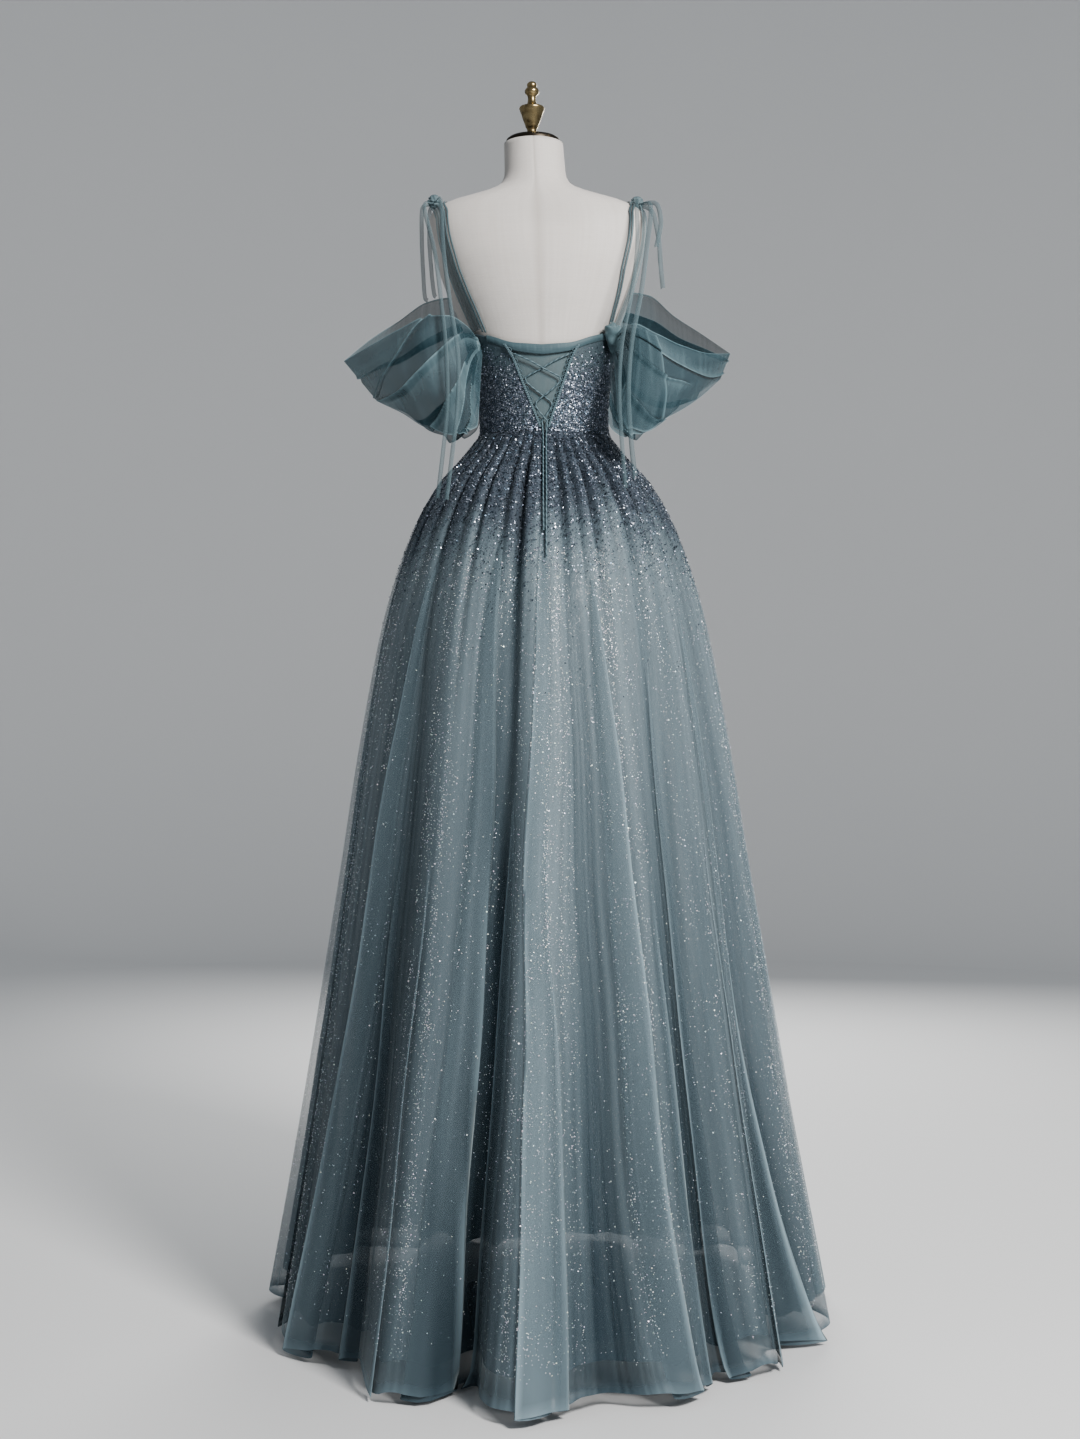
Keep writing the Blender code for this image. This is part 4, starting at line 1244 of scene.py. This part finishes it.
skirt = {
    "waist": 1.417,
    "hem": 0.008,
    "clothSize": (3.3, 1.45),
    # height, half width, back, front
    "profile": (
        (1.417, 0.1055, 0.083, 0.087), (1.381, 0.133, 0.112, 0.112), (1.341, 0.168, 0.147, 0.145),
        (1.284, 0.202, 0.185, 0.178), (1.23, 0.225, 0.21, 0.2), (1.154, 0.25, 0.238, 0.225),
        (1.087, 0.266, 0.256, 0.242), (0.991, 0.283, 0.276, 0.26), (0.873, 0.301, 0.298, 0.279),
        (0.743, 0.318, 0.321, 0.298), (0.603, 0.337, 0.348, 0.32), (0.422, 0.362, 0.385, 0.35),
        (0.218, 0.392, 0.43, 0.388), (0.008, 0.425, 0.475, 0.42),
    ),
    # ridges and valleys: angle at the hem, half width, height at the hem, drift towards the waist, and how
    # late they grow
    "flutes": (
        (-174, 10, -0.03, 0, 1.2), (-158, 10, 0.03, 0, 1.2), (-142, 10, -0.035, 0, 1.2),
        (-125, 10, 0.03, 2, 1.2), (-111, 8, -0.03, 2, 1.2), (-97, 9, 0.035, 1, 1.2),
        (-84, 9, -0.04, 0, 1.2), (-66, 11, 0.012, 2, 1.2), (-47, 11, -0.04, 3, 1.2),
        (-31, 9, 0.022, 4, 1.2), (-17, 8, -0.04, 8, 0.95), (-18, 6, -0.055, 6, 5.0),
        (-4, 12, 0.048, 2, 1.2), (13, 7, -0.024, -2, 1.2), (25, 8, 0.02, -3, 1.2), (39, 8, -0.03, -3, 1.2),
        (51, 7, 0.01, -2, 1.2), (61, 7, -0.03, -2, 1.2), (73, 8, 0.04, -1, 1.2), (87, 8, -0.035, 0, 1.2),
        (101, 9, 0.048, -1, 1.2), (118, 10, -0.03, 0, 1.2), (134, 10, 0.03, 0, 1.2),
        (151, 10, -0.03, 0, 1.2), (168, 10, 0.035, 0, 1.2),
    ),
    # gathers under the waist: angle, depth, height where they end
    "gathers": (
        (-174, 5, 1.1), (-164, 4, 1.05), (-152, 6, 1.1), (-141, 4, 1.15), (-131, 5, 1.05), (-119, 6, 1.1),
        (-108, 4, 1.15), (-97, 5, 1.05), (-86, 6, 1.05), (-75, 5, 1.1), (-64, 6, 1.05), (-54, 4, 1.15),
        (-45, 6, 0.95), (-36, 4, 1.15), (-28, 6, 0.95), (-17, 5, 1.1), (-10, 8, 0.8), (-0.8, 4, 1.0),
        (8, 6, 1.05), (14, 5, 1.12), (21, 7, 0.95), (29, 4, 1.15), (36.5, 6, 0.95), (46, 5, 1.1),
        (55, 6, 1.0), (65, 4, 1.12), (76, 6, 1.05), (87, 5, 1.1), (98, 6, 1.05), (110, 4, 1.15),
        (121, 6, 1.05), (133, 5, 1.1), (145, 6, 1.05), (156, 4, 1.12), (167, 5, 1.05),
    ),
    "gatherDepth": 0.002,
    "gatherOpens": 0.075,
    "gatherFull": 1.36,
    "valleyWidth": 1.7,
    "ridgeWidth": 4.6,
    "pointWidth": 2.6,
    # rate and shift of the fine streaks in the cloth, by angle
    "streaks": ((0.31, 0.4), (0.73, 2.0), (1.37, 1.1), (2.3, 4.0), (3.7, 0.7)),
    # folds that double back: angle at the hem, drift towards the waist and how it bends, half width, overlap
    # and height at the hem in mm, the side that the upper layer is on, and the height where the fold starts
    "pleats": (
        (-24.0, 8.0, 0.8, 3.4, 38, 8, 1, 1.25), (-17.5, 11.0, 0.5, 3.0, 24, 6, -1, 0.85),
        (-34.0, 4.0, 1.0, 2.6, 14, 5, 1, 0.75), (-48.5, 6.0, 1.0, 3.0, 20, 6, -1, 0.8),
        (-60.0, 16.0, 1.0, 3.6, 34, 8, -1, 1.2), (-76.0, 8.0, 1.0, 3.2, 18, 6, 1, 1.0),
        (-2.0, 1.5, 1.0, 2.8, 30, 6, -1, 1.28), (3.0, -1.5, 1.0, 2.2, 15, 5, 1, 0.6),
        (29.0, -13.0, 0.45, 3.2, 34, 7, 1, 1.18), (35.5, -9.0, 0.45, 2.4, 14, 5, 1, 0.75),
        (43.5, -10.0, 0.5, 3.2, 26, 7, -1, 1.05), (54.0, -6.0, 0.7, 2.6, 14, 5, -1, 0.8),
        (67.0, -18.0, 0.7, 3.6, 32, 8, 1, 1.12), (84.0, -6.0, 1.0, 3.0, 16, 6, -1, 0.85),
        (99.0, -5.0, 1.0, 3.4, 28, 7, 1, 1.05), (124.0, -3.0, 0.8, 3.4, 32, 7, 1, 1.1),
        (141.0, -2.0, 1.0, 2.6, 15, 5, -1, 0.8), (163.0, 0.0, 1.0, 3.4, 34, 7, -1, 1.15),
        (178.0, 0.0, 1.0, 2.8, 18, 6, 1, 0.9), (-162.0, 2.0, 0.7, 3.4, 30, 7, 1, 1.1),
        (-146.0, 2.0, 1.0, 2.6, 15, 5, -1, 0.8), (-127.0, 4.0, 0.7, 3.4, 30, 7, 1, 1.08),
        (-103.0, 5.0, 1.0, 3.2, 24, 6, -1, 1.0),
    ),
}

# each layer: height of its hem and the hem's ups and downs, how far inside the outer one it hangs at the
# waist and how much more by the hem, its shares of the flutes and pleats, and its tones
layers = {
    "lining": {
        "piece": "skirtLining",
        "nodes": [f"skirt_lining_{i}" for i in range(1, 5)],
        "slot": "lining_cloth",
        "over": "form_torso",
        "grid": (230, 66),
        "hem": 0.2,
        "sway": 0.022,
        "inside": 0.0042,
        "more": 0.084,
        "flutes": 0.35,
        "pleats": 0.0,
        "marks": ("tone",),
        "tones": (colour(0.09, 0.14, 0.16), colour(0.6, 0.64, 0.62)),
    },
    "glitter": {
        "piece": "skirtGlitter",
        "nodes": [f"skirt_glitter_{i}" for i in range(1, 5)],
        "slot": "glitter_tulle",
        "over": "skirtLining",
        "grid": (450, 88),
        "hem": 0.05,
        "sway": 0.012,
        "inside": 0.002,
        "more": 0.014,
        "flutes": 1.0,
        "pleats": 0.0,
        "marks": ("tone", "cover"),
        "tones": (colour(0.04, 0.07, 0.092), colour(0.39, 0.47, 0.515)),
        "spark": colour(0.9, 0.9, 0.92),
    },
    "outer": {
        "piece": "skirtOuter",
        "nodes": [f"skirt_tulle_{i}" for i in range(1, 7)],
        "slot": "sheer_tulle",
        "over": "skirtGlitter",
        "grid": (980, 101),
        "hem": 0.009,
        "sway": 0.016,
        "inside": 0.0,
        "more": 0.0,
        "flutes": 1.0,
        "pleats": 1.0,
        "marks": ("tone", "cover", "crust"),
        "tones": (colour(0.03, 0.056, 0.074), colour(0.315, 0.42, 0.475)),
        "slate": (colour(0.016, 0.025, 0.037), colour(0.096, 0.125, 0.16)),
    },
}


def fallOf(height):
    return limited((skirt["waist"] - height) / (skirt["waist"] - skirt["hem"]))


def fluteHeight(angle, height):
    fall = fallOf(height)
    total = np.zeros(len(angle))
    for centre, halfWidth, depth, drift, growth in skirt["flutes"]:
        away = np.minimum(np.abs(awayFrom(angle, centre + drift * (1 - fall))) / halfWidth, 1)
        total += depth * np.cos(np.pi / 2 * away) ** 2 * fall ** growth
    return total


def gatherHeight(angle, height):
    # valleys between rounded ridges, which open below the waist seam and fade further down
    total = np.zeros(len(angle))
    start = limited((skirt["waist"] - height) / skirt["gatherOpens"]) ** 0.8
    for centre, depth, end in skirt["gathers"]:
        fade = limited((height - end) / (skirt["gatherFull"] - end))
        away = awayFrom(angle, centre * (1 + 0.06 * fallOf(height)))
        total -= depth * (hump(away, skirt["valleyWidth"]) - 0.45 * hump(away, skirt["ridgeWidth"])) * fade
    return total * skirt["gatherDepth"] * start


def foldLean(centre, drift, bend, height):
    # how far round a fold lies from its place at the hem: it drifts towards the waist and wavers on the way
    rest = 1 - fallOf(height)
    turn = np.radians(centre)
    waver = 0.75 * np.sin(6.5 * height + 7 * turn) + 0.35 * np.sin(15 * height + 13 * turn)
    return drift * rest ** bend + waver * np.sin(np.pi * rest)


def clothAngle(u, height):
    # the cloth's own lines lean with the folds beside them
    rows = sorted(skirt["pleats"])
    rows = [(rows[-1][0] - 360, *rows[-1][1:]), *rows, (rows[0][0] + 360, *rows[0][1:])]
    centre, drift, bend = (np.array([row[i] for row in rows]) for i in range(3))
    angle = awayFrom(360 * u, 0)
    i = np.clip(np.searchsorted(centre, angle, side="right") - 1, 0, len(rows) - 2)
    share = (angle - centre[i]) / (centre[i + 1] - centre[i])
    before, after = (foldLean(centre[j], drift[j], bend[j], height) for j in (i, i + 1))
    return angle + (1 - share) * before + share * after


def pleatShift(angle, height, strength):
    # how far folds carry the cloth round, in degrees, how far they lift it, where their turns lie, and the
    # painted light and shade beside them
    fall = fallOf(height)
    radius = eased(height, skirt["profile"], 1)
    carried, raised, lines, foldShades = (np.zeros(len(angle)) for _ in range(4))
    for centre, drift, bend, halfWidth, overlap, rise, side, top in skirt["pleats"]:
        grow = limited((top - height) / (top - skirt["hem"])) ** 0.45
        reach = overlap * 0.001 / radius * perRadian * grow
        away = awayFrom(angle, centre + foldLean(centre, drift, bend, height))
        away = away / (halfWidth * (0.45 + 0.55 * fall))
        shift = doubling(away)
        carried += reach * shift * strength
        raised += side * rise * 0.001 * grow * shift * (0.3 + 0.7 * fall) * strength
        lines += turnLine(away, side) * limited(grow * 1.3)
        foldShades += foldShadeOf(away, side) * grow
    return carried, raised, lines, foldShades


def skirtSurface(layer):
    def surface(angle, height):
        carried, raised, _, _ = pleatShift(angle, height, layer["pleats"])
        turned = angle + carried
        move = layer["flutes"] * fluteHeight(turned, height) + gatherHeight(turned, height) + raised
        move = move - layer["inside"] - layer["more"] * fallOf(height)
        turn = np.radians(turned)
        halfWidth, back, front = (eased(height, skirt["profile"], column) for column in (1, 2, 3))
        depth = np.where(np.cos(turn) > 0, back, front)
        return np.stack(((halfWidth + move) * np.sin(turn), -(depth + move) * np.cos(turn), height), axis=-1)

    return surface


def hemHeight(layer, angle):
    points = sum(hump(awayFrom(angle, pleat[0]), skirt["pointWidth"]) for pleat in skirt["pleats"])
    uneven = 0.9 + 0.5 * ripple(np.radians(angle), (5, 0.4), (9, 2.0), (14, 1.0))
    return layer["hem"] + layer["sway"] * (uneven - 0.9 * points)


def addSkirtLayer(layer, finish):
    surface = skirtSurface(layer)
    top = skirt["waist"]

    def lay(u, v):
        # angle and height, with rows closer together near the waist, where the gathers are
        low = hemHeight(layer, 360 * u)
        height = low + (top - low) * (1 - (1 - v) ** 1.25)
        return clothAngle(u, height), height

    def place(u, v):
        return surface(*lay(u, v))

    def tone(u, v):
        # painted light and shade: ridges lighter and valleys darker as if lit and shaded, folds' edges
        # lighter as a painted highlight, the cloth on top beside a fold lighter and the cloth under it darker
        # as painted shadow, and painted shade towards the hem; the streaks are the cloth's own
        angle, height = lay(u, v)
        carried, _, lines, foldShades = pleatShift(angle, height, layer["pleats"])
        turned = angle + carried
        flute = np.maximum(fluteHeight(turned, height) / (0.045 * (0.15 + fallOf(height))), -0.7)
        gather = gatherHeight(turned, height) / (6 * skirt["gatherDepth"])
        streak = ripple(360 * u + 2 * np.sin(0.3 * 360 * u + 2 * height), *skirt["streaks"])
        low = limited((0.95 - height) * 1.1)
        return limited(0.45 + 0.36 * flute + 0.5 * gather + 0.17 * streak + 0.1 * foldShades + 0.62 * lines
                       - 0.3 * low)

    def cover(u, v):
        # how much of the net's own thread lies in the way
        angle, height = lay(u, v)
        lines, foldShades = pleatShift(angle, height, layer["pleats"])[2:]
        streak = ripple(360 * u - 1.5 * np.sin(0.41 * 360 * u - 3 * height), *skirt["streaks"])
        rim = hump(height - hemHeight(layer, 360 * u), 0.003)
        low = limited((0.3 - height) / 0.25)
        return np.clip(0.33 + 0.12 * streak + 0.03 * foldShades + 0.45 * lines + 0.5 * rim + 0.2 * low
                       + 0.65 * crustAt(angle, height), 0.08, 1)

    def crust(u, v):
        return crustAt(*lay(u, v))

    marks = {mark.__name__: mark for mark in (tone, cover, crust) if mark.__name__ in layer["marks"]}
    addCloth(layer["piece"], layer["grid"], place, skirt["clothSize"], finish, layer["nodes"],
             "gathered", marks, closed=True)


# where the beads end under the waist: the height, how uneven it is, and where it rises
beading = {
    "edge": 1.198,
    "uneven": 0.042,
    "rise": 0.04,
    "riseAngle": 33,
    "riseWidth": 12,
    "fade": 8,
}


def beadEdge(angle):
    # the height down to which the beads lie close: uneven, and higher on the right of the back
    uneven = beading["uneven"] * ripple(np.radians(angle), (7, 0.3), (13, 1.1), (23, 2.2))
    rise = beading["rise"] * hump(awayFrom(angle, beading["riseAngle"]), beading["riseWidth"])
    return beading["edge"] + uneven + rise


def crustAt(angle, height):
    # 1 under the waist, where the beads lie close, and 0 from the hip down
    return limited((height - beadEdge(angle)) * beading["fade"])


def outerFinish():
    layer = layers["outer"]
    made = Finish("skirtTulle", Roughness=0.75, Sheen_Weight=0.25, Sheen_Roughness=0.4,
                  Sheen_Tint=net["sheenTint"])
    uv = made.uv()
    # the tone mark is painted light and shade: lighter ridges, darker valleys, painted shadow under folds and
    # painted shade towards the hem
    tone = made.mark("tone")
    streaks = made.drawn(uv, (60.0, 1.2, 1.0))
    made.set("Alpha", netted(made, uv, made.mark("cover")))
    shade = (tone + (streaks - 0.5) * 0.45).held()
    cloth = made.blend(shade, *layer["tones"])
    slate = made.blend(shade, *layer["slate"])
    made.set("Base Color", made.blend((made.mark("crust") * 1.4).held(), cloth, slate))
    made.bump(streaks, 0.3, 0.0009)
    return made


def glitterFinish():
    made = Finish("glitterTulle", Sheen_Weight=0.2, Sheen_Roughness=0.4)
    uv = made.uv()
    streaks = made.drawn(uv, (40.0, 1.6, 1.0))
    # the tone mark is painted light and shade, and the sparks show more where it is light
    tone = (made.mark("tone") + (streaks - 0.5) * 0.5).held()
    dots = made.cells(uv, 560.0)
    spark = (made.axis(dots.other("Color"), 1) > (0.985 - tone * 0.14)) * (dots < 0.42)
    ground = made.blend(tone, *layers["glitter"]["tones"])
    made.set("Base Color", made.blend(spark, ground, layers["glitter"]["spark"]))
    made.set("Roughness", (0.72 - spark * 0.45).held())
    made.set("Metallic", spark * 0.6)
    made.set("Alpha", (made.mark("cover") * 0.5 + 0.56).held())
    made.bump(streaks + spark * 0.6, 0.3, 0.0005)
    return made


def liningFinish():
    made = Finish("liningSatin", Roughness=0.42, Sheen_Weight=0.15)
    uv = made.uv()
    soft = made.drawn(uv, (9.0, 1.4, 1.0))
    fibres = made.drawn(uv, (320.0, 6.0, 1.0))
    # the tone mark is painted light and shade: lighter ridges, darker valleys and painted shade towards the
    # hem
    tone = (made.mark("tone") + (soft - 0.5) * 0.7 + (fibres - 0.5) * 0.3).held()
    made.set("Base Color", made.blend(tone, *layers["lining"]["tones"]))
    made.bump(fibres, 0.2, 0.0004)
    return made


addSkirtLayer(layers["lining"], liningFinish())
addSkirtLayer(layers["glitter"], glitterFinish())
addSkirtLayer(layers["outer"], outerFinish())
print("skirt hung")


# Sequins and glitter

# each kind: how many at most, its sides, its sizes and their shares, how far they tilt at random, and how
# rough and how metallic they are
sequins = {
    "bodice": {
        "count": 26000,
        "sides": 5,
        "sizes": (0.0017, 0.0022, 0.0028),
        "shares": (0.5, 0.38, 0.12),
        "tilt": 0.26,
        "finish": (0.4, 0.75),
    },
    "skirt": {
        "count": 46000,
        "sides": 5,
        "sizes": (0.0016, 0.0021, 0.0027, 0.0036),
        "shares": (0.5, 0.36, 0.12, 0.02),
        "tilt": 0.32,
        "finish": (0.36, 0.85),
    },
    "flakes": {
        "count": 92000,
        "sides": 3,
        "sizes": (0.0015, 0.002, 0.003),
        "shares": (0.64, 0.31, 0.05),
        "tilt": 0.35,
        "finish": (0.35, 0.25),
    },
    "seed": 7,
    "edgeGap": 0.014,
    "lacingGap": 1.2,
    "sparseTop": 1.556,
    "sparseDepth": 0.055,
    "bodiceTop": 1.64,
    "skirtLow": 0.86,
    "flakesLow": 0.06,
    "flakesTop": 1.22,
    # where more of the bodice's sequins are bright, a painted pool of light where the key light falls, and
    # some larger: angle, half width, height and half height of the patch
    "patch": (27, 15, 1.475, 0.045),
    # for each tone the darkest colour and how much it can gain
    "slate": ((0.035, 0.055, 0.075), (0.07, 0.09, 0.12)),
    "lilac": ((0.19, 0.22, 0.29), 0.15),
    "bright": ((0.6, 0.64, 0.72), 0.2),
    "flake": (0.86, 0.88, 0.92),
}
chance = np.random.default_rng(sequins["seed"])


def kept(kind, keep, *lists):
    # the first places that pass, as many as there are sequins
    return (values[keep][:sequins[kind]["count"]] for values in lists)


def pickSizes(kind, count):
    return chance.choice(sequins[kind]["sizes"], count, p=sequins[kind]["shares"])


def addFlecks(name, kind, surface, places, lift, sizes, tints, finish):
    # one flat shape made by an operator, and repeated at every point with its own tilt, size and colour
    sides = sequins[kind]["sides"]
    shape = bmesh.new()
    bmesh.ops.create_circle(shape, cap_ends=True, segments=sides, radius=0.5)
    pattern = np.array([vert.co[:] for vert in shape.verts])
    order = [vert.index for vert in next(iter(shape.faces)).verts]
    shape.free()
    points = lifted(surface, *places, lift)
    count = len(points)
    facing = unit(outward(surface, *places) + sequins[kind]["tilt"] * chance.normal(size=(count, 3)))
    spare = unit(chance.normal(size=(count, 3)))
    across = unit(np.cross(facing, spare))
    up = np.cross(facing, across)
    verts = (points[:, None] + pattern[None, order, 0, None] * (across * sizes[:, None])[:, None]
             + pattern[None, order, 1, None] * (up * sizes[:, None])[:, None]).reshape(-1, 3)
    mesh = bpy.data.meshes.new(name)
    mesh.from_pydata(verts, [], np.arange(count * sides).reshape(count, sides).tolist())
    layer = mesh.color_attributes.new("tint", "FLOAT_COLOR", "POINT")
    layer.data.foreach_set("color", np.repeat(np.hstack((tints, np.ones((count, 1)))), sides, axis=0).ravel())
    finishPiece(linked(name, mesh), finish)


def sequinFinish(name, kind):
    roughness, metallic = sequins[kind]["finish"]
    made = Finish(name, Metallic=metallic, Roughness=roughness)
    made.set("Base Color", made.tint("tint"))
    return made


def pickTints(count, dark, middle):
    # mostly slate, some lilac grey and a few bright ones
    draw = chance.random(count)
    shade = chance.random((count, 1))
    slate, lilac, bright = (np.array(sequins[tone][0]) + shade * np.array(sequins[tone][1])
                            for tone in ("slate", "lilac", "bright"))
    return np.where((draw < dark)[:, None], slate, np.where((draw < middle)[:, None], lilac, bright))


def bodiceDensity(height):
    # sparse under the top edge, dense from the middle of the bodice down
    return limited((sequins["sparseTop"] - height) / sequins["sparseDepth"]) ** 1.6 * 0.93 + 0.07


def addBodiceSequins(finish):
    count = sequins["bodice"]["count"] * 3
    angle = chance.uniform(-180, 180, count)
    top = topHeight(angle)
    height = chance.uniform(waist - 0.001, sequins["bodiceTop"], count)
    drop = height + (bodice["meanTop"] - top) * limited((height - 1.46) / 0.1)
    clear = (height < top - sequins["edgeGap"]) & (np.abs(angle) > vAngle(height) + sequins["lacingGap"])
    keep = clear & (chance.random(count) < bodiceDensity(drop))
    angle, height = kept("bodice", keep, angle, height)
    seam = limited((waist + 0.007 - height) / 0.007)
    lift = bodice["lift"] + bodice["clothThickness"] / 2 + 0.0005 + 0.0026 * seam
    lift = lift + chance.uniform(0, 0.0006, len(angle))
    sizes = pickSizes("bodice", len(angle))
    centre, halfWidth, middle, halfHeight = sequins["patch"]
    # a painted pool of light: more bright sequins inside the patch
    patch = hump(angle - centre, halfWidth) * hump(height - middle, halfHeight)
    sizes = sizes * (1 + 0.22 * patch * (chance.random(len(angle)) < 0.3))
    tints = pickTints(len(angle), 0.5 - 0.1 * patch, 0.92 - 0.07 * patch)
    addFlecks("bodiceSequins", "bodice", formSurface, (angle, height), lift, sizes, tints, finish)


def addSkirtSequins(finish):
    count = sequins["skirt"]["count"] * 5
    low = sequins["skirtLow"]
    angle = chance.uniform(-180, 180, count)
    height = low + (skirt["waist"] - low - 0.001) * chance.random(count) ** 0.6
    radius = eased(height, skirt["profile"], 1)
    dense = 1 / (1 + np.exp(-(height - beadEdge(angle) - 0.018) / 0.03))
    stray = 0.03 * limited((height - low) / 0.36) ** 1.5
    crowd = 0.7 + 0.7 * limited((height - 1.27) / 0.08)
    keep = chance.random(count) < (dense * crowd + stray) * radius / 0.26
    angle, height = kept("skirt", keep, angle, height)
    lift = 0.0008 + chance.uniform(0, 0.0006, len(angle))
    sizes = pickSizes("skirt", len(angle))
    # painted shade: sequins in the gathers' valleys are darker and fewer are bright, and those on the ridges
    # lighter
    ridge = limited(0.55 + gatherHeight(angle, height) / (5 * skirt["gatherDepth"]))
    tints = pickTints(len(angle), 0.5 - 0.16 * ridge, 0.94 - 0.04 * ridge) * (0.42 + 0.6 * ridge)[:, None]
    addFlecks("skirtSequins", "skirt", skirtSurface(layers["outer"]), (angle, height), lift, sizes, tints,
              finish)


def addFlakes(finish):
    # glitter lies in streaks along the ridges
    count = sequins["flakes"]["count"] * 6
    angle = chance.uniform(-180, 180, count)
    height = chance.uniform(sequins["flakesLow"], sequins["flakesTop"], count)
    ridge = fluteHeight(angle, height) / (0.03 * (0.2 + fallOf(height)))
    bands = 0.5 + 0.5 * ripple(angle, (0.35, 0.4), (0.91, 2.0), (1.73, 1.1))
    patches = 0.5 + 0.5 * ripple(height * 21 + angle * 0.11, (1.0, 0.3), (2.3, 1.7))
    rich = np.clip(0.25 + 0.5 * ridge, 0.06, 1) * (0.1 + bands**2.5 * 1.6) * (0.3 + 0.7 * patches)
    angle, height = kept("flakes", chance.random(count) < rich, angle, height)
    sizes = pickSizes("flakes", len(angle))
    tints = np.array(sequins["flake"]) + chance.uniform(-0.12, 0.08, (len(angle), 3))
    addFlecks("glitterFlakes", "flakes", skirtSurface(layers["outer"]), (angle, height), 0.0006, sizes,
              tints, finish)


addBodiceSequins(sequinFinish("bodiceSequins", "bodice"))
addSkirtSequins(sequinFinish("skirtSequins", "skirt"))
addFlakes(sequinFinish("glitterFlecks", "flakes"))
print("sequins sewn on")


# Floor and light

studio = {
    "floorRadius": 4.6,
    "wallHeight": 6.0,
    "wallCurve": 1.6,
    "steps": 96,
    "floorColour": (0.8, 0.81, 0.82),
    "world": (0.8, 0.84, 0.88),
    "worldStrength": 0.31,
    "look": "AgX - Medium High Contrast",
    # name, place, aim, size, power, colour
    "lamps": (
        ("keyLamp", (1.62, -2.46, 2.9), (0.0, 0.0, 1.15), 0.9, 146.0, (1.0, 0.97, 0.94)),
        ("fillLamp", (0.5, 3.2, 2.3), (0.0, 0.0, 1.1), 2.2, 75.0, (1.0, 0.98, 0.95)),
    ),
}


def floorFinish():
    made = Finish("studioFloor", Roughness=0.85)
    cloud = made.noise(made.place(), 0.8, 2.0)
    low = colour(*(level * 0.97 for level in studio["floorColour"]))
    made.set("Base Color", made.blend(cloud, low, colour(*studio["floorColour"])))
    return made


def addStage(name, profile, finish):
    stage = addShape(name, turnedShape(profile, (0, 0, 0), studio["steps"]))
    stage.data.materials.append(finish.material)
    return stage


def addFloor():
    finish = floorFinish()
    reach = studio["floorRadius"]
    curve = studio["wallCurve"]
    addStage("studioFloor", [(0, 0), (reach / 3, 0), (reach * 2 / 3, 0), (reach, 0)], finish)
    turns = np.linspace(0, math.pi / 2, 20)
    bend = [(reach + curve * math.sin(turn), curve * (1 - math.cos(turn))) for turn in turns]
    sweep = addStage("studioSweep", [*bend, (reach + curve, studio["wallHeight"])], finish)
    # the sweep is a backdrop only: the air's light passes it
    sweep.visible_diffuse = False
    sweep.visible_glossy = False
    sweep.visible_shadow = False


def addLamps():
    for name, place, aim, size, power, tone in studio["lamps"]:
        lamp = bpy.data.lights.new(name, "AREA")
        lamp.shape = "DISK"
        lamp.size = size
        lamp.energy = power
        lamp.color = tone
        holder = linked(name, lamp)
        holder.location = place
        holder.rotation_euler = (Vector(aim) - Vector(place)).to_track_quat("-Z", "Y").to_euler()


def addWorld():
    world = bpy.data.worlds.new("studioAir")
    world.use_nodes = True
    air = world.node_tree.nodes["Background"]
    air.inputs["Color"].default_value = colour(*studio["world"])
    air.inputs["Strength"].default_value = studio["worldStrength"]
    scene.world = world
    scene.view_settings.look = studio["look"]


addFloor()
addLamps()
addWorld()
print("studio lit")
